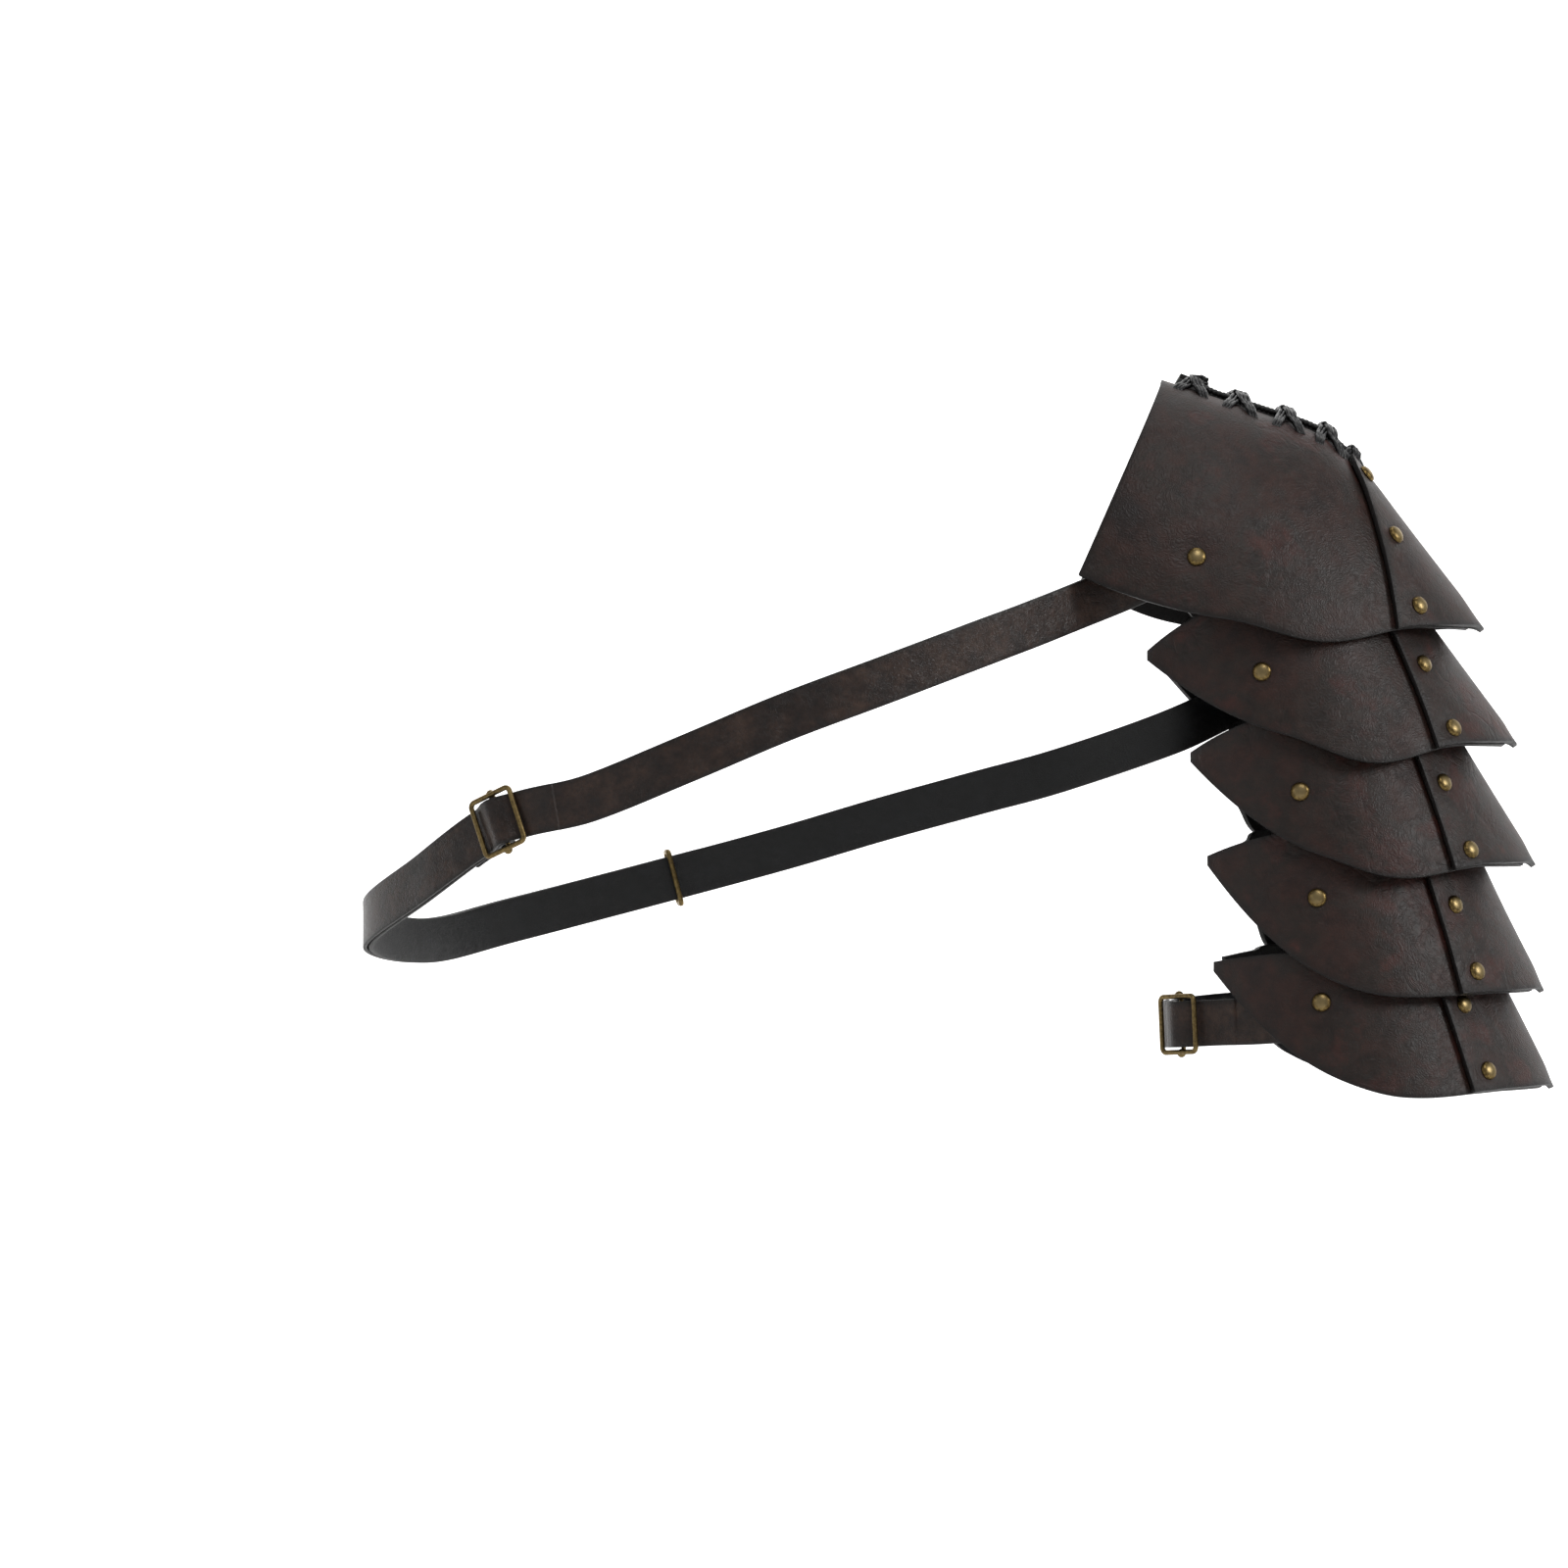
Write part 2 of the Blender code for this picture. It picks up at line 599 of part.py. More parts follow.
hanging_strap("hanging_strap_front", FRONT_SEATS, -1, (1, 5))
hanging_strap("hanging_strap_rear", REAR_SEATS, 1, (2, 5))

CARRIED = {("front", 1): "chest_strap_front", ("rear", 2): "chest_strap_rear",
           ("front", 5): "arm_strap_front", ("rear", 5): "arm_strap_rear"}
for half, places, side in (("front", FRONT_SEATS, -1), ("rear", REAR_SEATS, 1)):
    for lame, (base, normal, _, _) in places.items():
        passed = [f"{half}_plate_{lame}", f"hanging_strap_{half}"]
        grip = LAME_THICK + 2 * GAP + BOW + STRAP_THICK
        if (half, lame) in CARRIED:
            passed.append(CARRIED[half, lame])
            grip += UNDER_LAYER
        rivet(f"{half}_rivet_{lame}", base + normal * OUTER_FACE[side], normal, grip, passed)


def drill(piece, places):
    bm = bmesh.new()
    for place, depth in places:
        bmesh.ops.create_cone(bm, cap_ends=True, segments=10, radius1=HOLE_RADIUS, radius2=HOLE_RADIUS,
                              depth=depth, matrix=place)
    cutter = add_object(f"{piece}_holes", bm, BRASS)
    cutter.hide_render = True
    cutter.display_type = "WIRE"
    cut = bpy.data.objects[piece].modifiers.new("rivet_holes", "BOOLEAN")
    cut.operation = "DIFFERENCE"
    cut.object = cutter


for piece, places in holes.items():
    drill(piece, places)


def lacing_knot(number, share):
    """Two crossed turns of cord over the ridge, joined where they cross."""
    knot = None
    middle = math.acos(1 - share / DEEPEST[1])
    for sign in (-1, 1):
        points = []
        for step in range(9):
            across = (step / 8 - 0.5) * 2
            slide = sign * across * KNOT_HALF_LENGTH / REACH
            angle = math.acos(max(-1.0, 1 - (share + slide) / DEEPEST[1]))
            down = abs(across) * KNOT_HALF_SPREAD / (SHOULDER_DEPTH * math.sin(middle) * 1.3)
            side = -1 if across < 0 else 1
            lift = LAP_GAP + LAME_THICK + GAP + 1.3 * CORD_RADIUS
            spot = outside(1, side * angle, down, lift)
            if abs(across) < 0.01:
                spot.y = 0.0
            points.append(spot)
        data = bpy.data.curves.new(f"lacing_{number}", "CURVE")
        data.dimensions = "3D"
        data.bevel_depth = CORD_RADIUS
        data.bevel_resolution = 1
        data.use_fill_caps = True
        spline = data.splines.new("POLY")
        spline.points.add(len(points) - 1)
        for target, spot in zip(spline.points, points):
            target.co = (*spot, 1.0)
        turn = bpy.data.objects.new(f"lacing_turn_{number}", data)
        bpy.context.scene.collection.objects.link(turn)
        graph = bpy.context.evaluated_depsgraph_get()
        bm = bmesh.new()
        bm.from_mesh(turn.evaluated_get(graph).to_mesh())
        bmesh.ops.remove_doubles(bm, verts=bm.verts, dist=1e-6)
        bmesh.ops.recalc_face_normals(bm, faces=bm.faces)
        bpy.data.objects.remove(turn, do_unlink=True)
        if knot is None:
            knot = add_object(f"lacing_{number}", bm, CORD)
        else:
            union(knot, bm, f"lacing_{number}_guide")


for number, share in enumerate(KNOTS, 1):
    lacing_knot(number, share)
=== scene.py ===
"""Looks of a leather pauldron with its chest strap loop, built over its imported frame."""
import math

import bmesh
import bpy
from mathutils import Matrix, Vector, noise


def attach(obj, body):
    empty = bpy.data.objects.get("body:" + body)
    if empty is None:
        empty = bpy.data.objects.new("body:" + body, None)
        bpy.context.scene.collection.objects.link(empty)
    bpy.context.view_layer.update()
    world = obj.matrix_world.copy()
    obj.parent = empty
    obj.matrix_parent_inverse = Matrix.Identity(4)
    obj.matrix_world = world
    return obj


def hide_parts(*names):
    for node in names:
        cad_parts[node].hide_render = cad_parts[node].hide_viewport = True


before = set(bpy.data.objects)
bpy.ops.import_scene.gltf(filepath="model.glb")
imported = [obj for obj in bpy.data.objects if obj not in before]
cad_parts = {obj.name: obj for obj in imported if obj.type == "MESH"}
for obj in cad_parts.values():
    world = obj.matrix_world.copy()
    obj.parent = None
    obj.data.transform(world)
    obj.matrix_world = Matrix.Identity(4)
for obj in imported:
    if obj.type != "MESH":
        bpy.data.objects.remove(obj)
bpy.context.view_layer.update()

# Camera: the photograph is taken level, and one of its pixels is 0.42 mm at the middle of the chest loop
PIXEL = 0.00042
IMAGE_WIDTH = 1600
CAMERA_DISTANCE = 2.30
SENSOR_WIDTH = 36.0
EYE_HEIGHT = -0.1386
FLOOR_HEIGHT = -0.62

# Leather and clearances, as in the frame
LAME_THICK = 0.0020
STRAP_THICK = 0.0018
STRAP_WIDTH = 0.0195
HANGER_WIDTH = 0.0110
GAP = 0.0005
LAP_GAP = 0.0010

# Overall sizes of the pauldron
REACH = 0.204
DROP = 0.302
SHOULDER_DEPTH = 0.066
ARM_DEPTH = 0.062
FLARE = 0.15
RIDGE_HALF_GAP = 0.0008
CORNER_HEIGHT = 0.004

# Chest loop, about the middle of the wearer's body
BODY_OFFSET = 0.200
CHEST_HALF_WIDTH = 0.177
CHEST_HALF_DEPTH = 0.106

# Hardware
CAP_RADIUS = 0.0040
CAP_HEIGHT = 0.0022
BACK_RADIUS = 0.0030
BACK_HEIGHT = 0.0010
SLIDER_WIRE = 0.0011
SLIDER_HALF_LENGTH = 0.0105
KNOB_RADIUS = 0.0019
RING_WIRE = 0.0012
RIVET_SIDES = 28
DOME_STEPS = 8
WIRE_SIDES = 14
CORNER_STEPS = 8

# Lames: tip, corner and crest as shares of REACH (x) and DROP (z), then the sag of the lower edge
LAMES = {
    1: (0.478, -0.239, -0.378, -0.169, 0.240, -0.032, 0.0230),
    2: (0.547, -0.403, -0.229, -0.286, 0.312, -0.186, 0.0265),
    3: (0.586, -0.572, -0.139, -0.428, 0.378, -0.348, 0.0166),
    4: (0.602, -0.750, -0.104, -0.573, 0.429, -0.514, 0.0033),
    5: (0.623, -0.886, -0.092, -0.721, 0.474, -0.687, 0.0066),
}
# The shoulder ridge: its inner end, its fall from there to the crest, and its extra bend near the crest
RIDGE_INNER_X = -0.188
RIDGE_INNER_Z = 0.114
RIDGE_FALL = 0.095
RIDGE_SHOULDER = 0.050
RIDGE_BEND = 0.33
DOME_ANGLE = math.radians(75)
# On the way to the corner a lower edge rises from one share on, and sags over the span after another
RISE_FROM = 0.45
RISE_SPAN = 0.55
SAG_FROM = 0.15
SAG_SPAN = 0.50
BEND_POWER = 2.2
# The share of the way from crest to corner at which each lame is deepest
DEEPEST = {1: 0.65, 2: 0.55, 3: 0.55, 4: 0.55, 5: 0.55}
# The rear half's corner lies this far out from the front half's, so it is hidden behind it. The shift
# grows between two shares of the way to the corner.
REAR_SHORT = {1: 0.0075, 2: 0.0105, 3: 0.0110, 4: 0.0115, 5: 0.0115}
REAR_SHORT_FROM = 0.72
REAR_SHORT_TO = {1: 1.0, 2: 1.0, 3: 0.90, 4: 0.90, 5: 0.90}
FRONT_START = math.radians(18)
# The flap's edge on the front half, as an angle from the crest at each lame's top and at its foot
FLAP_TOP = {lame: math.radians(turn) for lame, turn in zip(LAMES, (30, 44, 50, 54, 56))}
FLAP_FOOT = {lame: math.radians(turn) for lame, turn in zip(LAMES, (50, 56, 59, 60, 59))}
FLAP_MARGIN = math.radians(8)
# How far down its lame each seam rivet sits
SEAM_ROWS = {1: (0.30, 0.68, 0.94), 2: (0.50, 0.91), 3: (0.50, 0.91), 4: (0.49, 0.88), 5: (0.41, 0.87)}
# The hanging straps' rivets, as shares of REACH (x) and DROP (z)
FRONT_RIVETS = {
    1: (-0.140, -0.143),
    2: (0.002, -0.303),
    3: (0.079, -0.470),
    4: (0.109, -0.617),
    5: (0.121, -0.762),
}
REAR_RIVETS = {**FRONT_RIVETS, 2: (0.016, -0.331)}
# The chest loop's route from front to rear, as shares of its half width, its half depth and DROP
CHEST_ROUTE = (
    (0.773, -0.415, -0.193), (0.599, -0.600, -0.235), (0.458, -0.765, -0.267), (0.227, -0.925, -0.319),
    (0.000, -0.981, -0.369), (-0.227, -0.962, -0.425), (-0.455, -0.868, -0.479), (-0.654, -0.708, -0.511),
    (-0.850, -0.425, -0.590), (-1.000, 0.000, -0.659), (-0.880, 0.472, -0.686), (-0.672, 0.802, -0.658),
    (-0.278, 0.981, -0.598), (0.000, 1.000, -0.554), (0.248, 0.972, -0.511), (0.494, 0.868, -0.471),
    (0.690, 0.730, -0.439), (0.950, 0.440, -0.385),
)
CHEST_SLIDER_AT = (-0.654, -0.708, -0.511)
CHEST_RING_AT = (-0.278, 0.981, -0.598)
CHEST_TAIL = 0.014
# The arm strap's route, as shares of REACH, ARM_DEPTH and DROP
ARM_ROUTE = (
    (0.000, -0.620, -0.790), (-0.070, -0.450, -0.793), (-0.140, -0.270, -0.797), (-0.172, 0.000, -0.800),
    (-0.140, 0.270, -0.797), (-0.070, 0.450, -0.793), (0.000, 0.620, -0.790),
)
ARM_SLIDER_AT = (-0.140, -0.270, -0.797)
ARM_TAIL = 0.030
ARM_DROP = 0.006
# The length over which a strap turns from lying on its lame to standing upright
CHEST_BLEND = 0.045
ARM_BLEND = 0.030
# The knots' places along the ridge, as shares of the way from crest to corner
KNOTS = (0.09, 0.21, 0.40, 0.63, 0.86)
# Straps inside: room for their bow, the flat run at a rivet, and where they pass the next top edge
BOW = 0.0014
SEAT_LEAD = 0.0080
SEAT_FLAT = 0.0055
CROSSING_SHARE = 0.65
# Heights over a strap's route: of the next strap, of the slider's bar and of its frame
LAYER = STRAP_THICK + 1.5 * GAP
UNDER_LAYER = LAYER + 6 * GAP
OVER_BAR = SLIDER_WIRE + GAP + STRAP_THICK / 2
BAR_HEIGHT = OVER_BAR
FRAME_HEIGHT = LAYER + STRAP_THICK / 2 + GAP + SLIDER_WIRE
# Where a lame's faces lie off its base surface: -1 for the front half, 1 for the rear half
INNER_FACE = {-1: -LAME_THICK, 1: LAP_GAP}
OUTER_FACE = {-1: 0.0, 1: LAP_GAP + LAME_THICK}


# Colours and material nodes

def linear(hex_colour):
    """An sRGB hex colour as linear RGBA."""
    parts = [int(hex_colour[i:i + 2], 16) / 255 for i in (1, 3, 5)]
    return (*[c / 12.92 if c <= 0.04045 else ((c + 0.055) / 1.055) ** 2.4 for c in parts], 1.0)


def add_node(tree, kind, links=None, **settings):
    """Adds a node; settings are its properties or its inputs' values, and links feed its inputs."""
    node = tree.nodes.new(kind)
    for key, value in settings.items():
        if hasattr(node, key):
            setattr(node, key, value)
        else:
            node.inputs[key.replace("_", " ")].default_value = value
    for socket, source in (links or {}).items():
        tree.links.new(source, node.inputs[socket])
    return node


def ramp(tree, source, stops):
    """A colour ramp over a source, from (place, hex colour) stops."""
    node = add_node(tree, "ShaderNodeValToRGB", {"Fac": source})
    elements = node.color_ramp.elements
    while len(elements) < len(stops):
        elements.new(0.5)
    for element, (place, colour) in zip(elements, stops):
        element.position = place
        element.color = linear(colour)
    return node.outputs["Color"]


def mix(tree, share, first, second, blend="MIX"):
    """Mixes two colours by a share, each a socket or a value."""
    node = add_node(tree, "ShaderNodeMix", data_type="RGBA", blend_type=blend)
    for index, value in ((0, share), (6, first), (7, second)):
        if isinstance(value, bpy.types.NodeSocket):
            tree.links.new(value, node.inputs[index])
        else:
            node.inputs[index].default_value = value
    return node.outputs[2]


def new_material(name):
    mat = bpy.data.materials.new(name)
    mat.use_nodes = True
    return mat, mat.node_tree, mat.node_tree.nodes["Principled BSDF"]


def leather(name, tones, dark_edge, roughness, grain, crease, patch, sheen):
    """Antiqued full-grain leather: mottled dye, pebbled grain, wider creases with painted shade, burnished
    dark edges.

    tones are the dye's stops, grain and crease their sizes in metres, patch the size of the mottling.
    Real grain is too fine to show from here, so it is drawn as coarse as it needs to show, 1 to 2 mm.
    """
    mat, tree, shader = new_material(name)
    place = add_node(tree, "ShaderNodeTexCoord").outputs["Object"]
    mottle = add_node(tree, "ShaderNodeTexNoise", {"Vector": place},
                      Scale=1 / patch, Detail=6.0, Roughness=0.62)
    fine = add_node(tree, "ShaderNodeTexNoise", {"Vector": place},
                    Scale=5 / patch, Detail=4.0, Roughness=0.6)
    dye_and_shade = ramp(tree, mottle.outputs["Fac"], tones)
    speck = ramp(tree, fine.outputs["Fac"], ((0.30, "#8a8a8a"), (0.72, "#ffffff")))
    dye_and_shade = mix(tree, 0.75, dye_and_shade, speck, "MULTIPLY")
    warp = add_node(tree, "ShaderNodeTexNoise", {"Vector": place}, Scale=0.6 / crease, Detail=3.0)
    bent = mix(tree, 0.035, place, warp.outputs["Color"])
    cells = add_node(tree, "ShaderNodeTexVoronoi", {"Vector": bent},
                     feature="DISTANCE_TO_EDGE", Scale=1 / grain)
    pebble = add_node(tree, "ShaderNodeMapRange", {"Value": cells.outputs["Distance"]}, From_Max=0.35)
    wide = add_node(tree, "ShaderNodeTexVoronoi", {"Vector": bent},
                    feature="DISTANCE_TO_EDGE", Scale=1 / crease)
    fold = add_node(tree, "ShaderNodeMapRange", {"Value": wide.outputs["Distance"]}, From_Max=0.12)
    where = add_node(tree, "ShaderNodeTexNoise", {"Vector": place}, Scale=0.35 / crease, Detail=2.0)
    creased = add_node(tree, "ShaderNodeMapRange", {"Value": where.outputs["Fac"]},
                       From_Min=0.46, From_Max=0.62)
    folds_and_shade = mix(tree, creased.outputs["Result"], (1, 1, 1, 1), fold.outputs["Result"])
    # Painted shade: the colour is darkened along the creases, as if shade fell in them
    dye_and_shade = mix(tree, 0.22, dye_and_shade, folds_and_shade, "MULTIPLY")
    edge = add_node(tree, "ShaderNodeAttribute", attribute_name="edge").outputs["Fac"]
    colour = mix(tree, edge, dye_and_shade, linear(dark_edge))
    tree.links.new(colour, shader.inputs["Base Color"])
    rough = add_node(tree, "ShaderNodeMapRange", {"Value": fine.outputs["Fac"]},
                     To_Min=roughness - 0.09, To_Max=roughness + 0.11)
    tree.links.new(rough.outputs["Result"], shader.inputs["Roughness"])
    low = add_node(tree, "ShaderNodeBump", {"Height": folds_and_shade}, Strength=0.30, Distance=0.0005)
    bump = add_node(tree, "ShaderNodeBump",
                    {"Height": pebble.outputs["Result"], "Normal": low.outputs["Normal"]},
                    Strength=0.30, Distance=0.0003)
    tree.links.new(bump.outputs["Normal"], shader.inputs["Normal"])
    shader.inputs["IOR"].default_value = 1.48
    shader.inputs["Sheen Weight"].default_value = sheen
    shader.inputs["Sheen Roughness"].default_value = 0.45
    return mat


# Lames: dyed dark brown over a grey-green ground and buffed. It gives red-brown clouds with greyer
# hollows under a soft, broad sheen, and a darker burnished rim.
LAME = leather("dark_brown_antiqued_leather",
               ((0.30, "#1e0f0b"), (0.42, "#361c14"), (0.52, "#291d17"),
                (0.62, "#45211a"), (0.74, "#33251d")),
               "#0b0605", 0.47, 0.0016, 0.013, 0.034, 0.0)
# The lames' flesh side: rough and napped, so the inside reads matt and almost black
LAME_BACK = leather("black_flesh_side_leather", ((0.35, "#0f0d0c"), (0.65, "#191716")), "#0b0a0a", 0.75,
                    0.0012, 0.014, 0.020, 0.05)
# The cut edges: sealed and smooth, so a dark line with a faint gloss runs round each plate
EDGE = leather("sealed_leather_edge", ((0.35, "#0d0908"), (0.65, "#17100e")), "#0c0807", 0.50,
               0.0010, 0.010, 0.015, 0.0)
# Straps' face: brown with a crinkled grain, which breaks the gloss into small bright flecks
STRAP = leather("crinkled_brown_strap_leather",
                ((0.30, "#160d0a"), (0.45, "#2b1b14"), (0.56, "#3a271e"), (0.70, "#4a352a")), "#0e0907", 0.36,
                0.0019, 0.0048, 0.012, 0.08)
# Straps' lining: blue-black with a finer grain, which tells a strap's inside from its face
LINING = leather("blue_black_strap_lining",
                 ((0.35, "#040507"), (0.55, "#090b0e"), (0.70, "#101319")), "#050506", 0.40,
                 0.0012, 0.0040, 0.010, 0.04)


def brass_finish():
    """Antique brass: brown patina in the low places, rubbed bright on the domes, so each cap glints.

    The patina's spots, 900 to the metre or 1.1 mm each, are drawn as coarse as they need to show.
    """
    mat, tree, shader = new_material("antique_brass_patina")
    place = add_node(tree, "ShaderNodeTexCoord").outputs["Object"]
    spots = add_node(tree, "ShaderNodeTexNoise", {"Vector": place}, Scale=900.0, Detail=5.0, Roughness=0.65)
    colour = ramp(tree, spots.outputs["Fac"], ((0.30, "#33291a"), (0.48, "#6f5c38"), (0.68, "#968050")))
    worn = add_node(tree, "ShaderNodeAttribute", attribute_name="worn").outputs["Fac"]
    colour = mix(tree, worn, colour, linear("#a39068"))
    tree.links.new(colour, shader.inputs["Base Color"])
    rough = add_node(tree, "ShaderNodeMapRange", {"Value": spots.outputs["Fac"]}, To_Min=0.48, To_Max=0.28)
    tree.links.new(rough.outputs["Result"], shader.inputs["Roughness"])
    pits = add_node(tree, "ShaderNodeBump", {"Height": spots.outputs["Fac"]}, Strength=0.15, Distance=0.0002)
    tree.links.new(pits.outputs["Normal"], shader.inputs["Normal"])
    shader.inputs["Metallic"].default_value = 1.0
    return mat


def cord_finish():
    """Waxed two-ply cord: black, with a waxy gloss that draws a thin light line along each ply.

    Its fibres, 1500 to the metre or 0.7 mm each, are drawn as coarse as they need to show.
    """
    mat, tree, shader = new_material("black_waxed_cord")
    place = add_node(tree, "ShaderNodeTexCoord").outputs["Object"]
    fibre = add_node(tree, "ShaderNodeTexNoise", {"Vector": place}, Scale=1500.0, Detail=3.0)
    colour = ramp(tree, fibre.outputs["Fac"], ((0.3, "#030304"), (0.7, "#0c0c0e")))
    tree.links.new(colour, shader.inputs["Base Color"])
    fuzz = add_node(tree, "ShaderNodeBump", {"Height": fibre.outputs["Fac"]}, Strength=0.2, Distance=0.0002)
    tree.links.new(fuzz.outputs["Normal"], shader.inputs["Normal"])
    shader.inputs["Roughness"].default_value = 0.30
    return mat


BRASS = brass_finish()
CORD = cord_finish()


# Shapes shared with the frame

def smooth(share):
    share = min(1.0, max(0.0, share))
    return share * share * (3 - 2 * share)


def end_angle(lame):
    return math.acos(1 - 1 / DEEPEST[lame])


def ridge_height(share):
    shoulder = max(0.0, (RIDGE_BEND - share) / RIDGE_BEND)
    return DROP * (RIDGE_INNER_Z - RIDGE_FALL * (1 - share) - RIDGE_SHOULDER * shoulder ** BEND_POWER)


def lame_surface(lame, angle, down):
    """Point on a lame's base surface: angle 0 on its crest, below 0 on the front, down 0 at its top."""
    tip_x, tip_z, corner_x, corner_z, crest_x, crest_z, sag = LAMES[lame]
    turn = abs(angle)
    side = -1 if angle < 0 else 1
    share = DEEPEST[lame] * (1 - math.cos(turn))
    depth = math.sin(turn)
    if turn < math.pi / 2:
        depth *= 0.5 + 0.5 * math.sin(turn)
    rise = max(0.0, (share - RISE_FROM) / RISE_SPAN) ** BEND_POWER
    hang = math.sin(math.pi * min(1.0, max(0.0, (share - SAG_FROM) / SAG_SPAN))) ** 2
    short = 0.0
    if side > 0:
        grown = (share - REAR_SHORT_FROM) / (REAR_SHORT_TO[lame] - REAR_SHORT_FROM)
        short = REAR_SHORT[lame] * smooth(grown)
    foot_x = REACH * (tip_x - share * (tip_x - corner_x))
    foot_z = DROP * (tip_z + (corner_z - tip_z) * rise - sag * hang)
    if lame == 1:
        top_x = REACH * (crest_x + share * (RIDGE_INNER_X - crest_x))
        top_z = ridge_height(share)
        dome = down * DOME_ANGLE
        fall = (1 - math.cos(dome)) / (1 - math.cos(DOME_ANGLE))
        reach_out = SHOULDER_DEPTH * depth * math.sin(dome) / math.sin(DOME_ANGLE)
        reach_out += RIDGE_HALF_GAP * min(1.0, turn / FRONT_START)
        x = top_x + (foot_x - top_x) * fall + short
        return Vector((x, side * reach_out, top_z + (foot_z - top_z) * fall))
    top_x = REACH * (crest_x - share * (crest_x - corner_x))
    top_z = DROP * corner_z + CORNER_HEIGHT + (DROP * (crest_z - corner_z) - CORNER_HEIGHT) * (1 - share ** 4)
    x = top_x + (foot_x - top_x) * down + short
    z = top_z + (foot_z - top_z) * down
    reach_out = (ARM_DEPTH - FLARE * (z - DROP * tip_z)) * depth
    return Vector((x, side * reach_out, z))


def lame_normal(lame, angle, down):
    step = 0.01
    down = min(0.99, max(0.03, down))
    along = lame_surface(lame, angle + step, down) - lame_surface(lame, angle - step, down)
    across = lame_surface(lame, angle, down + step) - lame_surface(lame, angle, down - step)
    return across.cross(along).normalized()


def flap_angle(lame, down):
    return FLAP_TOP[lame] + (FLAP_FOOT[lame] - FLAP_TOP[lame]) * down


def outside(lame, angle, down, offset):
    return lame_surface(lame, angle, down) + lame_normal(lame, angle, down) * offset


def locate(lame, side, x, z):
    """The angle and height on a lame where it passes x and z, each to a hundredth of its span."""
    best = None
    last = end_angle(lame)
    for a in range(20, 100):
        for d in range(2, 100):
            angle = side * last * a / 100
            spot = lame_surface(lame, angle, d / 100)
            miss = (spot.x - x) ** 2 + (spot.z - z) ** 2
            if best is None or miss < best[0]:
                best = (miss, angle, d / 100)
    return best[1], best[2]


def seats(rivets, side):
    """Each rivet's place on its lame: base point, outward normal, angle and height."""
    found = {}
    for lame, (x, z) in rivets.items():
        angle, down = locate(lame, side, x * REACH, z * DROP)
        found[lame] = (lame_surface(lame, angle, down), lame_normal(lame, angle, down), angle, down)
    return found


FRONT_SEATS = seats(FRONT_RIVETS, -1)
REAR_SEATS = seats(REAR_RIVETS, 1)


# Mesh helpers

def add_piece(name, bm, materials, node=None):
    """Makes an object of a bmesh, lets it ride on the body, and lets it stand for its CAD node."""
    mesh = bpy.data.meshes.new(name)
    bm.to_mesh(mesh)
    bm.free()
    for mat in materials:
        mesh.materials.append(mat)
    mesh.shade_smooth()
    obj = bpy.data.objects.new(name, mesh)
    bpy.context.scene.collection.objects.link(obj)
    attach(obj, "root")
    if node:
        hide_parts(node)
    return obj


def leather_sheet(name, columns, rows, point, thick, side, faces, node, edge_width, keep=None):
    """A leather sheet bent by point(u, v), with its thickness, rounded edges and a burnished border.

    side is -1 where point gives the sheet's outer face, and 0 where it gives the middle of its thickness.
    """
    bm = bmesh.new()
    bmesh.ops.create_grid(bm, x_segments=columns, y_segments=rows, size=0.5)
    edge_layer = bm.verts.layers.float.new("edge")
    flat = {vert: (vert.co.x + 0.5, vert.co.y + 0.5) for vert in bm.verts}
    if keep:
        middles = {face: face.calc_center_median() for face in bm.faces}
        gone = [face for face, middle in middles.items() if not keep(middle.x + 0.5, middle.y + 0.5)]
        bmesh.ops.delete(bm, geom=gone, context="FACES")
    for vert in bm.verts:
        vert.co = point(*flat[vert])
    border = [v.co.copy() for v in bm.verts if v.is_boundary]
    for vert in bm.verts:
        near = min((vert.co - spot).length for spot in border)
        vert[edge_layer] = max(0.0, 1 - near / edge_width) ** 1.6
    obj = add_piece(name, bm, faces, node)
    solidify = obj.modifiers.new("thickness", "SOLIDIFY")
    solidify.thickness = thick
    solidify.offset = side
    solidify.material_offset = 1
    solidify.material_offset_rim = 2
    bevel = obj.modifiers.new("rounded_edge", "BEVEL")
    bevel.width = thick * 0.22
    bevel.segments = 2
    bevel.limit_method = "ANGLE"
    bevel.angle_limit = math.radians(50)


# Lames

DIMPLE_DEPTH = 0.0007
DIMPLE_WIDTH = 0.0065
WAVE_DEPTH = 0.0006
WAVE_LENGTH = 0.045
# The tip of each lame hooks down, within this angle of the crest and over this last share of its height
TIP_HOOK = 0.0022
HOOK_ANGLE = 0.16
HOOK_FROM = 0.86
HOOK_RUN = 0.14
LAME_ROWS = {1: 54, 2: 36, 3: 36, 4: 36, 5: 36}
FRONT_COLUMNS = 76
REAR_COLUMNS = 105
LAME_BURNISH = 0.0042
LAME_FACES = (LAME, LAME_BACK, EDGE)


def lame_rivet_spots(lame, half):
    places = FRONT_SEATS if half == "front" else REAR_SEATS
    spots = [places[lame][0]]
    for down in SEAM_ROWS[lame]:
        spots.append(lame_surface(lame, -(flap_angle(lame, down) - FLAP_MARGIN), down))
    return spots


def worked(lame, angle, down, offset, spots):
    """A point of a lame with the hand of the leather on it: soft waves, and dimples at its rivets."""
    place = lame_surface(lame, angle, down)
    normal = lame_normal(lame, angle, down)
    wave = WAVE_DEPTH * noise.noise(place / WAVE_LENGTH + Vector((0, 0, 7.3 * lame)))
    near = min((place - spot).length for spot in spots)
    dimple = DIMPLE_DEPTH * math.exp(-(near / DIMPLE_WIDTH) ** 2)
    hook = TIP_HOOK * math.exp(-(angle / HOOK_ANGLE) ** 2) * smooth((down - HOOK_FROM) / HOOK_RUN)
    off = offset + wave * smooth(near / (2 * DIMPLE_WIDTH)) - dimple
    return place + normal * off - Vector((0, 0, hook))


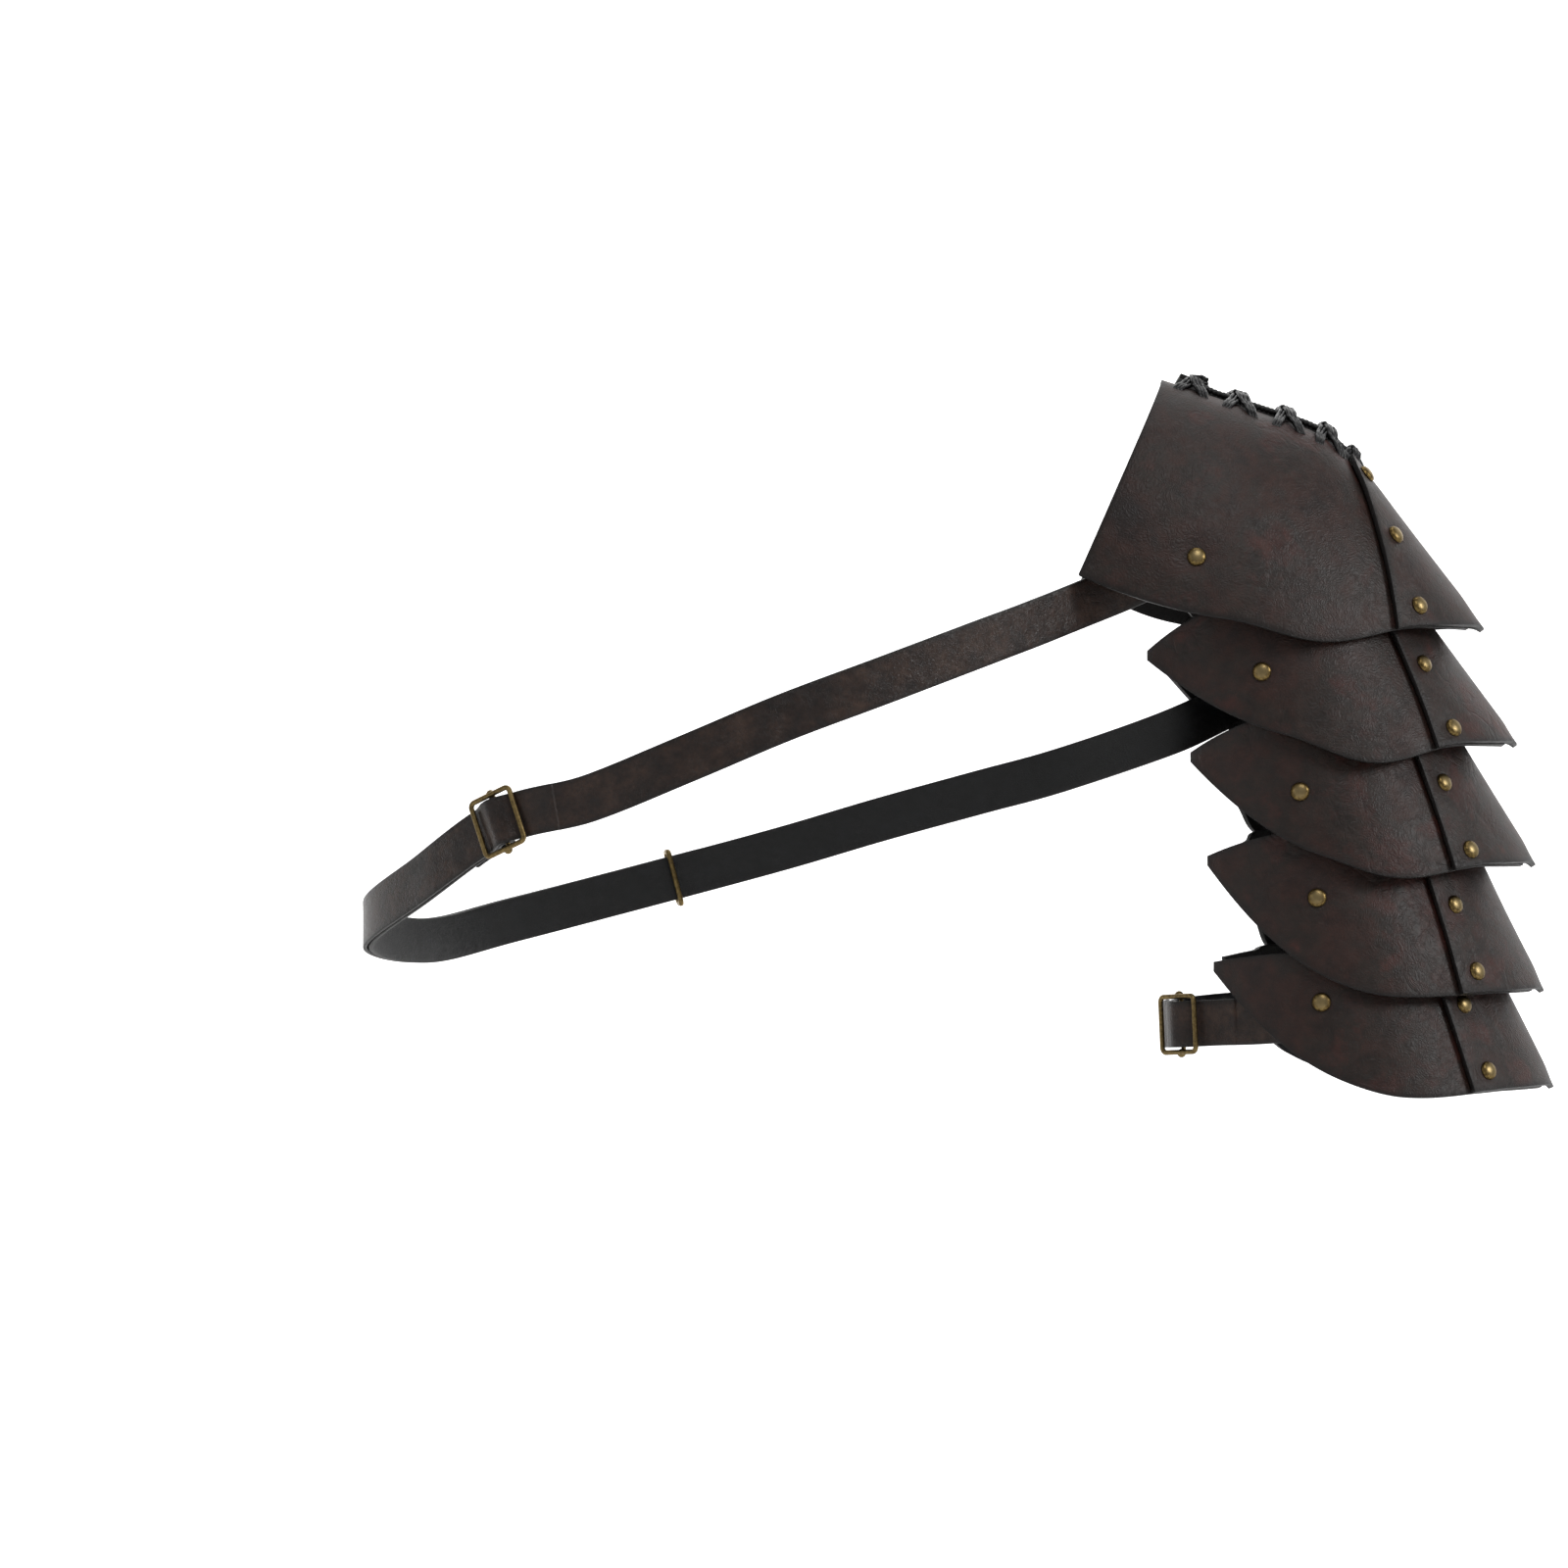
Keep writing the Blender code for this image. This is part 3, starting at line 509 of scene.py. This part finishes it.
def front_lame(lame):
    last = end_angle(lame)
    spots = lame_rivet_spots(lame, "front")

    def point(u, v):
        return worked(lame, -(last + (FRONT_START - last) * u), 1 - v, 0.0, spots)

    leather_sheet(f"front_lame_{lame}", FRONT_COLUMNS, LAME_ROWS[lame], point, LAME_THICK, -1, LAME_FACES,
                  f"front_plate_{lame}", LAME_BURNISH)


# The flap takes this share of the rear half's columns, and lame 1's is cut off above this height
FLAP_SHARE = 4 / 15
FLAP_TOP_CUT = 0.89


def rear_lame(lame):
    last = end_angle(lame)
    spots = lame_rivet_spots(lame, "rear")

    def point(u, v):
        down = 1 - v
        if u < FLAP_SHARE:
            angle = -flap_angle(lame, down) * (1 - u / FLAP_SHARE)
        else:
            angle = last * (u - FLAP_SHARE) / (1 - FLAP_SHARE)
        return worked(lame, angle, down, LAP_GAP + LAME_THICK, spots)

    def keep(u, v):
        return lame > 1 or u > FLAP_SHARE or v < FLAP_TOP_CUT

    leather_sheet(f"rear_lame_{lame}", REAR_COLUMNS, LAME_ROWS[lame], point, LAME_THICK, -1, LAME_FACES,
                  f"rear_plate_{lame}", LAME_BURNISH, keep)


for number in LAMES:
    front_lame(number)
    rear_lame(number)


# Rivets

def turned(name, profile, place, node):
    """A brass solid turned about its own Z from (radius, height) points, worn bright on its dome."""
    bm = bmesh.new()
    worn = bm.verts.layers.float.new("worn")
    verts = [bm.verts.new((radius, 0, height)) for radius, height in profile]
    edges = [bm.edges.new(pair) for pair in zip(verts, verts[1:])]
    bmesh.ops.spin(bm, geom=verts + edges, cent=(0, 0, 0), axis=(0, 0, 1), angle=math.tau,
                   steps=RIVET_SIDES, use_merge=True)
    bmesh.ops.remove_doubles(bm, verts=bm.verts, dist=1e-6)
    bmesh.ops.recalc_face_normals(bm, faces=bm.faces)
    top = max(v.co.z for v in bm.verts)
    for vert in bm.verts:
        vert[worn] = 0.8 * smooth((vert.co.z - top * 0.55) / (top * 0.45))
    bmesh.ops.transform(bm, matrix=place, verts=bm.verts)
    obj = add_piece(name, bm, (BRASS,), node)
    obj.data.set_sharp_from_angle(angle=math.radians(40))


def facing(point, normal):
    return Matrix.Translation(point) @ normal.to_track_quat("Z", "Y").to_matrix().to_4x4()


def cap_rivet(node, seat, normal, grip):
    """A domed cap with a rolled rim, its shank, and its set back."""
    base = -DIMPLE_DEPTH * 0.6
    back = -grip - GAP
    profile = []
    for step in range(DOME_STEPS + 1):
        lean = math.radians(90 * step / DOME_STEPS)
        height = base + CAP_HEIGHT * (0.22 + 0.78 * math.cos(lean))
        profile.append((CAP_RADIUS * 0.97 * math.sin(lean), height))
    profile += [(CAP_RADIUS, base + CAP_HEIGHT * 0.14), (CAP_RADIUS * 0.98, base), (BACK_RADIUS * 0.5, base)]
    profile += [(BACK_RADIUS * 0.5, back), (BACK_RADIUS, back), (BACK_RADIUS, back - BACK_HEIGHT * 0.4)]
    profile += [(BACK_RADIUS * 0.75, back - BACK_HEIGHT * 0.9), (0.0, back - BACK_HEIGHT)]
    profile[0] = (0.0, profile[0][1])
    turned(f"brass_{node}", profile, facing(seat, normal), node)


for lame, rows in SEAM_ROWS.items():
    for row, down in enumerate(rows, 1):
        angle = -(flap_angle(lame, down) - FLAP_MARGIN)
        seat = outside(lame, angle, down, LAP_GAP + LAME_THICK)
        cap_rivet(f"seam_rivet_{lame}_{row}", seat, lame_normal(lame, angle, down), 2 * LAME_THICK + LAP_GAP)

# Rivets that hold the end of the chest or arm strap too
CARRIED = (("front", 1), ("rear", 2), ("front", 5), ("rear", 5))
for half, places, side in (("front", FRONT_SEATS, -1), ("rear", REAR_SEATS, 1)):
    for lame, (base, normal, _, _) in places.items():
        grip = LAME_THICK + 2 * GAP + BOW + STRAP_THICK
        if (half, lame) in CARRIED:
            grip += UNDER_LAYER
        cap_rivet(f"{half}_rivet_{lame}", base + normal * OUTER_FACE[side], normal, grip)


# Straps

STRAP_COLUMNS = 8
HANGER_COLUMNS = 5
ROUTE_PARTS = 12
HANGER_PARTS = 8
STRAP_BURNISH = 0.0022
HANGER_BURNISH = 0.0018
STRAP_FACES = (STRAP, LINING, EDGE)
# How far a strap runs past its rivet, where the outer one starts to rise before the slider and over
# what length, and how much of the inner one folds back behind the slider
STRAP_END = 0.008
RISE_BEFORE = 0.045
RISE_RUN = 0.030
FOLD_BACK = 0.024
# Near the slider, from NEAR_START before it to NEAR_END after it, a strap is drawn in finer steps, and
# its plain steps stop and start again just outside that
NEAR_START = 0.026
NEAR_END = 0.012
PLAIN_STOP = 0.0265
PLAIN_AGAIN = 0.0135
PLAIN_STEP = 0.0025
OUTER_STEP = 0.0008
INNER_STEP = 0.0007
FOLD_STEP = 0.0009
BAR_STEPS = 16
BAR_EASE = 0.0004


def curve_through(points, parts):
    """Points of a smooth curve through the given ones."""
    padded = [points[0] * 2 - points[1], *points, points[-1] * 2 - points[-2]]
    curve = []
    for a, b, c, d in zip(padded, padded[1:], padded[2:], padded[3:]):
        for step in range(parts):
            t = step / parts
            curve.append(0.5 * (2 * b + (c - a) * t + (2 * a - 5 * b + 4 * c - d) * t * t
                                + (3 * b - a - 3 * c + d) * t ** 3))
    return curve + [points[-1]]


class Route:
    """A strap's route, read by the length along it, with its outward side and its width direction."""

    def __init__(self, points, first_normal, last_normal, blend):
        self.points = curve_through(points, ROUTE_PARTS)
        self.lengths = [0.0]
        for a, b in zip(self.points, self.points[1:]):
            self.lengths.append(self.lengths[-1] + (b - a).length)
        self.total = self.lengths[-1]
        self.first_normal = first_normal
        self.last_normal = last_normal
        self.blend = blend

    def at(self, length):
        if length <= 0:
            return self.points[0] + (self.points[1] - self.points[0]).normalized() * length
        for index, here in enumerate(self.lengths[1:]):
            if length <= here:
                share = (length - self.lengths[index]) / (here - self.lengths[index])
                return self.points[index].lerp(self.points[index + 1], share)
        return self.points[-1] + (self.points[-1] - self.points[-2]).normalized() * (length - self.total)

    def frame(self, length):
        reach = 0.003
        tangent = (self.at(length + reach) - self.at(length - reach)).normalized()
        normal = Vector((0, 0, 1)).cross(tangent).normalized()
        normal = self.first_normal.lerp(normal, smooth(length / self.blend))
        normal = self.last_normal.lerp(normal, smooth((self.total - length) / self.blend))
        normal = (normal - tangent * normal.dot(tangent)).normalized()
        return self.at(length), tangent, normal, normal.cross(tangent).normalized()

    def nearest(self, point):
        misses = [(p - point).length for p in self.points]
        return self.lengths[misses.index(min(misses))]


def strap(name, node, track, route, faces):
    """A strap whose middle follows track, a list of (length along the route, height off it)."""
    spots = []
    for length, height in track:
        place, _, normal, across = route.frame(length)
        spots.append((place + normal * height, across))

    def point(u, v):
        place, across = spots[round(v * (len(spots) - 1))]
        return place + across * (u - 0.5) * STRAP_WIDTH

    leather_sheet(name, STRAP_COLUMNS, len(spots) - 1, point, STRAP_THICK, 0, faces, node,
                  STRAP_BURNISH)


def steps_between(start, stop, step):
    count = max(1, round(abs(stop - start) / step))
    return [start + (stop - start) * i / count for i in range(count + 1)]


def over_slider(length, slider):
    """Height of the outer strap: under the frame's ends and over the wrapped bar."""
    share = (length - slider) / SLIDER_HALF_LENGTH
    hump = BAR_HEIGHT + OVER_BAR
    return LAYER + hump * math.cos(math.pi / 2 * share) ** 2 if abs(share) < 1 else LAYER


def strap_pair(label, route, slider, outer_end):
    """The outer strap, and the inner strap that wraps the slider's bar and folds back under itself."""
    outer = [(length, LAYER * smooth((length - slider + RISE_BEFORE) / RISE_RUN))
             for length in steps_between(-STRAP_END, slider - PLAIN_STOP, PLAIN_STEP)]
    outer += [(length, over_slider(length, slider))
              for length in steps_between(slider - NEAR_START, slider + NEAR_END, OUTER_STEP)]
    outer += [(length, LAYER) for length in steps_between(slider + PLAIN_AGAIN, outer_end, PLAIN_STEP)]
    strap(f"{label}_strap_outer", f"{label}_strap_front", outer, route, (LINING, STRAP, EDGE))
    inner = [(length, 0.0)
             for length in steps_between(route.total + STRAP_END, slider + PLAIN_AGAIN, PLAIN_STEP)]
    inner += [(length, over_slider(length, slider) - LAYER)
              for length in steps_between(slider + NEAR_END, slider + BAR_EASE, INNER_STEP)]
    for turn in range(1, BAR_STEPS):
        angle = math.pi * turn / BAR_STEPS
        inner.append((slider - OVER_BAR * math.sin(angle), BAR_HEIGHT + OVER_BAR * math.cos(angle)))
    for along in steps_between(BAR_EASE, FOLD_BACK, FOLD_STEP):
        drop = smooth(along / SLIDER_HALF_LENGTH)
        inner.append((slider + along, BAR_HEIGHT - OVER_BAR - (BAR_HEIGHT - OVER_BAR + LAYER) * drop))
    strap(f"{label}_strap_inner", f"{label}_strap_rear", inner, route, STRAP_FACES)


def wire_frame(bm, half_long, half_wide, radius, bend, place):
    """A wire bent round a rectangle: a disc carried round the path by its rings."""
    path = []
    for quarter in range(4):
        sign_x = (1, -1, -1, 1)[quarter]
        sign_y = (1, 1, -1, -1)[quarter]
        for step in range(CORNER_STEPS + 1):
            angle = math.pi / 2 * (quarter + step / CORNER_STEPS)
            path.append(Vector((sign_x * (half_long - bend) + bend * math.cos(angle),
                                sign_y * (half_wide - bend) + bend * math.sin(angle), 0)))
    loops = []
    for index, spot in enumerate(path):
        ahead = (path[(index + 1) % len(path)] - path[index - 1]).normalized()
        turn = Matrix((ahead.cross(Vector((0, 0, 1))), Vector((0, 0, 1)), ahead)).transposed().to_4x4()
        ring = bmesh.ops.create_circle(bm, cap_ends=False, segments=WIRE_SIDES, radius=radius,
                                       matrix=place @ Matrix.Translation(spot) @ turn)
        loops.append([e for e in set(e for v in ring["verts"] for e in v.link_edges)])
    for index, loop in enumerate(loops):
        bmesh.ops.bridge_loops(bm, edges=loop + loops[(index + 1) % len(loops)])
    bmesh.ops.recalc_face_normals(bm, faces=bm.faces)


def frame_matrix(route, length, height):
    place, tangent, normal, across = route.frame(length)
    basis = Matrix((tangent, across, normal)).transposed().to_4x4()
    return Matrix.Translation(place + normal * height) @ basis


def wear(bm, share):
    layer = bm.verts.layers.float.new("worn")
    for vert in bm.verts:
        vert[layer] = share


def slider_buckle(name, node, route, length):
    """A wire slider with its bar set low between two knobs."""
    place = frame_matrix(route, length, FRAME_HEIGHT)
    low = BAR_HEIGHT - FRAME_HEIGHT
    half_wide = STRAP_WIDTH / 2 + 2 * GAP + SLIDER_WIRE
    bm = bmesh.new()
    wire_frame(bm, SLIDER_HALF_LENGTH, half_wide, SLIDER_WIRE, 2 * SLIDER_WIRE, place)
    turn = Matrix.Rotation(math.pi / 2, 4, "X")
    bar = SLIDER_WIRE * 0.9
    bmesh.ops.create_cone(bm, cap_ends=True, segments=16, radius1=bar, radius2=bar, depth=2 * half_wide,
                          matrix=place @ Matrix.Translation((0, 0, low)) @ turn)
    for sign in (-1, 1):
        spot = Matrix.Translation((0, sign * (half_wide + SLIDER_WIRE * 0.4), low / 2))
        bmesh.ops.create_uvsphere(bm, u_segments=18, v_segments=12, radius=KNOB_RADIUS, matrix=place @ spot)
    wear(bm, 0.25)
    add_piece(name, bm, (BRASS,), node)


def keeper(route, length):
    half_thick = (2 * STRAP_THICK + GAP) / 2 + 1.2 * GAP + RING_WIRE
    half_wide = STRAP_WIDTH / 2 + 2 * GAP + RING_WIRE
    place, tangent, normal, across = route.frame(length)
    basis = Matrix((normal, across, -tangent)).transposed().to_4x4()
    bm = bmesh.new()
    wire_frame(bm, half_thick, half_wide, RING_WIRE, 1.5 * RING_WIRE,
               Matrix.Translation(place + normal * LAYER / 2) @ basis)
    wear(bm, 0.2)
    add_piece("brass_keeper_ring", bm, (BRASS,), "keeper_ring")


def inside_seat(seat, side, layers):
    """Middle of the strap that lies under a lame at a rivet, with layers straps between them."""
    return seat[0] + seat[1] * (INNER_FACE[side] - GAP - BOW - STRAP_THICK / 2 - layers * UNDER_LAYER)


def lead_in(seat, normal, toward):
    way = toward - seat
    way -= normal * way.dot(normal)
    return seat + way.normalized() * SEAT_LEAD


def closed_route(seat_pair, normals, points, blend):
    first = [seat_pair[0], lead_in(seat_pair[0], normals[0], points[0])]
    last = [lead_in(seat_pair[1], normals[1], points[-1]), seat_pair[1]]
    return Route([*first, *points, *last], normals[0], normals[1], blend)


def chest_point(row):
    return Vector((row[0] * CHEST_HALF_WIDTH - BODY_OFFSET, row[1] * CHEST_HALF_DEPTH, row[2] * DROP))


def arm_point(row):
    return Vector((row[0] * REACH, row[1] * ARM_DEPTH, row[2] * DROP))


chest_ends = (inside_seat(FRONT_SEATS[1], -1, 0), inside_seat(REAR_SEATS[2], 1, 0))
chest_points = [chest_point(row) for row in CHEST_ROUTE]
chest = closed_route(chest_ends, (FRONT_SEATS[1][1], REAR_SEATS[2][1]), chest_points, CHEST_BLEND)
chest_slider = chest.nearest(chest_point(CHEST_SLIDER_AT))
chest_ring = chest.nearest(chest_point(CHEST_RING_AT))
strap_pair("chest", chest, chest_slider, chest_ring + CHEST_TAIL)
slider_buckle("brass_chest_slider", "chest_slider", chest, chest_slider)
keeper(chest, chest_ring)

arm_ends = [inside_seat(FRONT_SEATS[5], -1, 0), inside_seat(REAR_SEATS[5], 1, 0)]
arm_ends = [end - Vector((0, 0, ARM_DROP)) for end in arm_ends]
arm_points = [arm_point(row) for row in ARM_ROUTE]
arm = closed_route(arm_ends, (FRONT_SEATS[5][1], REAR_SEATS[5][1]), arm_points, ARM_BLEND)
arm_slider = arm.nearest(arm_point(ARM_SLIDER_AT))
strap_pair("arm", arm, arm_slider, arm_slider + ARM_TAIL)
slider_buckle("brass_arm_slider", "arm_slider", arm, arm_slider)


def angle_at_top(lame, side, x):
    """The angle at which a lame's top edge passes x."""
    corner_x, crest_x = LAMES[lame][2], LAMES[lame][4]
    share = (crest_x * REACH - x) / (REACH * (crest_x - corner_x))
    return side * math.acos(1 - share / DEEPEST[lame])


def hanging_strap(name, node, places, side, layered):
    """The strap that carries the lames: behind each rivet, and inside the top edge of the next lame."""
    points = []
    normals = []
    for lame in LAMES:
        if lame > 1:
            middle = places[lame][0].x + (places[lame - 1][0].x - places[lame][0].x) * CROSSING_SHARE
            angle = angle_at_top(lame, side, middle)
            outward = lame_normal(lame, angle, 0.0)
            off = INNER_FACE[side] - 2 * GAP - BOW - STRAP_THICK / 2
            points.append(lame_surface(lame, angle, 0.0) + outward * off)
            normals.append(outward)
        layers = 1 if lame in layered else 0
        _, normal, angle, down = places[lame]
        along = (lame_surface(lame, angle, down + 0.05) - lame_surface(lame, angle, down - 0.05)).normalized()
        for way in (-1, 1):
            points.append(inside_seat(places[lame], side, layers) + along * way * SEAT_FLAT)
            normals.append(normal)
    spots = curve_through(points, HANGER_PARTS)
    outward = curve_through(normals, HANGER_PARTS)

    def point(u, v):
        index = round(v * (len(spots) - 1))
        ahead = spots[min(index + 1, len(spots) - 1)] - spots[max(index - 1, 0)]
        return spots[index] + outward[index].cross(ahead).normalized() * (u - 0.5) * HANGER_WIDTH

    leather_sheet(name, HANGER_COLUMNS, len(spots) - 1, point, STRAP_THICK, 0, STRAP_FACES,
                  node, HANGER_BURNISH)


hanging_strap("front_hanger", "hanging_strap_front", FRONT_SEATS, -1, (1, 5))
hanging_strap("rear_hanger", "hanging_strap_rear", REAR_SEATS, 1, (2, 5))


# Lacing

# The cord's section is this flat, and turns by this angle for each radius of its length
PLY_OVAL = 0.78
PLY_TURN = 2.4
CORD_SIDES = 12
# How far below the ridge, as a share of lame 1's height, the cord's highest points are laid
RIDGE_DOWN = 0.012


def twisted_cord(bm, points, radius):
    """A two-ply cord along points: an oval section that turns as it goes, with closed ends."""
    rings = []
    run = 0.0
    for index, spot in enumerate(points):
        ahead = (points[min(index + 1, len(points) - 1)] - points[max(index - 1, 0)]).normalized()
        if index:
            run += (spot - points[index - 1]).length
        side = ahead.cross(Vector((0, 1, 0.3))).normalized()
        turn = Matrix((side, ahead.cross(side), ahead)).transposed().to_4x4()
        twist = Matrix.Rotation(PLY_TURN * run / radius, 4, "Z")
        oval = Matrix.Diagonal((1.0, PLY_OVAL, 1.0, 1.0))
        ends = index in (0, len(points) - 1)
        ring = bmesh.ops.create_circle(bm, cap_ends=ends, segments=CORD_SIDES, radius=radius,
                                       matrix=Matrix.Translation(spot) @ turn @ twist @ oval)
        around = set(e for v in ring["verts"] for e in v.link_edges)
        rings.append([e for e in around if len(e.link_faces) < 2])
    for first, second in zip(rings, rings[1:]):
        bmesh.ops.bridge_loops(bm, edges=first + second)


KNOT_STEPS = 40
STRAND_RADIUS = 0.00105
STRAND_SHIFTS = (-0.0205, 0.0, 0.0205)
# How far each knot runs along the ridge, as a share of it, and down each side, in metres
KNOT_RUNS = {
    1: (0.036, 0.0090),
    2: (0.056, 0.0165),
    3: (0.060, 0.0170),
    4: (0.066, 0.0170),
    5: (0.066, 0.0130),
}
# STRAND_SHIFTS are for a knot of this run, and the strands close up by this share toward their ends
SHIFTS_RUN = 0.062
CLOSE_UP = 0.4
# Near the ridge, lame 1's surface runs this many times its depth for the whole of its height
DOME_STRETCH = 1.3
# The upper turn arches over the lower one, and the strands' ends sink into the leather
UPPER_TURN_ARCH = 0.0014
END_SINK = 0.0022
# Within this share of its half length a strand is drawn in, so that it crosses the ridge smoothly
RIDGE_CROSSING = 0.25


def lacing_knot(number, share):
    """Two crossed turns over the ridge, each of three strands of cord laid side by side."""
    bm = bmesh.new()
    middle = math.acos(1 - share / DEEPEST[1])
    run, spread = KNOT_RUNS[number]
    for sign in (-1, 1):
        for shift in STRAND_SHIFTS:
            points = []
            for step in range(KNOT_STEPS + 1):
                across = (step / KNOT_STEPS - 0.5) * 2
                slide = sign * across * run + shift * (run / SHIFTS_RUN) * (1 - CLOSE_UP * abs(across))
                angle = math.acos(max(-1.0, min(1.0, 1 - (share + slide) / DEEPEST[1])))
                down = abs(across) * spread / (SHOULDER_DEPTH * math.sin(middle) * DOME_STRETCH)
                side = -1 if across < 0 else 1
                arch = UPPER_TURN_ARCH * (1 - across * across) if sign > 0 else 0.0
                rear = smooth(1 + 2 * across)
                lift = (LAP_GAP + LAME_THICK) * rear + 0.2 * GAP + STRAND_RADIUS + arch
                lift -= END_SINK * abs(across) ** 6
                spot = outside(1, side * angle, max(down, RIDGE_DOWN), lift)
                spot.y *= smooth(abs(across) / RIDGE_CROSSING)
                points.append(spot)
            twisted_cord(bm, points, STRAND_RADIUS)
    bmesh.ops.recalc_face_normals(bm, faces=bm.faces)
    add_piece(f"cord_knot_{number}", bm, (CORD,), f"lacing_{number}")


for number, share in enumerate(KNOTS, 1):
    lacing_knot(number, share)


RIDGE_CORD_RADIUS = 0.0015
RIDGE_CORD_APART = 0.0013
RIDGE_CORD_STEPS = 160
# The ridge cord ends just past the last knot
RIDGE_CORD_END = 1.03


def ridge_cord():
    """The doubled lace that runs from knot to knot along the ridge and covers its seam."""
    bm = bmesh.new()
    for side in (-1, 1):
        points = []
        for step in range(RIDGE_CORD_STEPS + 1):
            share = KNOTS[0] + (RIDGE_CORD_END * KNOTS[-1] - KNOTS[0]) * step / RIDGE_CORD_STEPS
            angle = math.acos(1 - share / DEEPEST[1])
            spot = outside(1, angle, RIDGE_DOWN, LAME_THICK)
            spot.y = side * RIDGE_CORD_APART
            points.append(spot)
        twisted_cord(bm, points, RIDGE_CORD_RADIUS)
    bmesh.ops.recalc_face_normals(bm, faces=bm.faces)
    add_piece("ridge_lace", bm, (CORD,))


ridge_cord()


# Floor, light and camera

PAPER_REACH = 6.0
SWEEP_START = 2.0
SWEEP_RADIUS = 1.5
SWEEP_STEPS = 12
# The paper's glow starts this far behind the object and is full after this much more
GLOW_START = 0.2
GLOW_RUN = 0.7
FULL_GLOW = 0.95


def backdrop():
    """White paper: a pale floor that glows brighter behind the object and sweeps up, so no corner shows."""
    bm = bmesh.new()
    profile = [(y, 0.0) for y in (-PAPER_REACH, GLOW_START, 0.5, 0.9, SWEEP_START)]
    for step in range(1, SWEEP_STEPS + 1):
        lean = math.radians(90 * step / SWEEP_STEPS)
        profile.append((SWEEP_START + SWEEP_RADIUS * math.sin(lean), SWEEP_RADIUS * (1 - math.cos(lean))))
    profile.append((SWEEP_START + SWEEP_RADIUS, PAPER_REACH))
    verts = [bm.verts.new((-PAPER_REACH, y, FLOOR_HEIGHT + z)) for y, z in profile]
    edges = [bm.edges.new(pair) for pair in zip(verts, verts[1:])]
    strip = bmesh.ops.extrude_edge_only(bm, edges=edges)
    moved = [g for g in strip["geom"] if isinstance(g, bmesh.types.BMVert)]
    bmesh.ops.translate(bm, vec=(2 * PAPER_REACH, 0, 0), verts=moved)
    bmesh.ops.recalc_face_normals(bm, faces=bm.faces)
    glow = bm.verts.layers.float.new("glow")
    for vert in bm.verts:
        vert[glow] = FULL_GLOW * smooth((vert.co.y - GLOW_START) / GLOW_RUN)
    mesh = bpy.data.meshes.new("paper_sweep")
    bm.to_mesh(mesh)
    bm.free()
    mesh.shade_smooth()
    mat, tree, shader = new_material("back_lit_white_paper")
    shader.inputs["Base Color"].default_value = linear("#f6f6f5")
    shader.inputs["Roughness"].default_value = 0.9
    shader.inputs["Emission Color"].default_value = linear("#ffffff")
    lit = add_node(tree, "ShaderNodeAttribute", attribute_name="glow").outputs["Fac"]
    tree.links.new(lit, shader.inputs["Emission Strength"])
    mesh.materials.append(mat)
    obj = bpy.data.objects.new("paper_sweep", mesh)
    bpy.context.scene.collection.objects.link(obj)


def soft_light(name, place, aim, size, power):
    data = bpy.data.lights.new(name, "AREA")
    data.shape = "DISK"
    data.size = size
    data.energy = power
    obj = bpy.data.objects.new(name, data)
    obj.location = place
    obj.rotation_euler = (Vector(aim) - Vector(place)).to_track_quat("-Z", "Y").to_euler()
    bpy.context.scene.collection.objects.link(obj)


MIDDLE = (-0.1, 0.0, -0.12)
backdrop()
soft_light("key", (0.3, -1.7, 1.9), MIDDLE, 0.9, 12)
soft_light("fill", (1.9, -0.9, 0.7), MIDDLE, 0.7, 15)
soft_light("left", (-2.0, -1.3, 0.5), MIDDLE, 1.0, 3)
soft_light("top", (0.2, 0.3, 2.2), MIDDLE, 1.4, 8)
world = bpy.data.worlds.new("studio")
world.use_nodes = True
world.node_tree.nodes["Background"].inputs["Color"].default_value = linear("#ffffff")
world.node_tree.nodes["Background"].inputs["Strength"].default_value = 0.25
bpy.context.scene.world = world
bpy.context.scene.view_settings.view_transform = "Standard"

camera_data = bpy.data.cameras.new("camera")
camera_data.sensor_width = SENSOR_WIDTH
camera_data.lens = SENSOR_WIDTH * CAMERA_DISTANCE / (PIXEL * IMAGE_WIDTH)
camera = bpy.data.objects.new("camera", camera_data)
camera.location = (-BODY_OFFSET, -CAMERA_DISTANCE, EYE_HEIGHT)
camera.rotation_euler = (math.pi / 2, 0, 0)
bpy.context.scene.collection.objects.link(camera)
bpy.context.scene.camera = camera
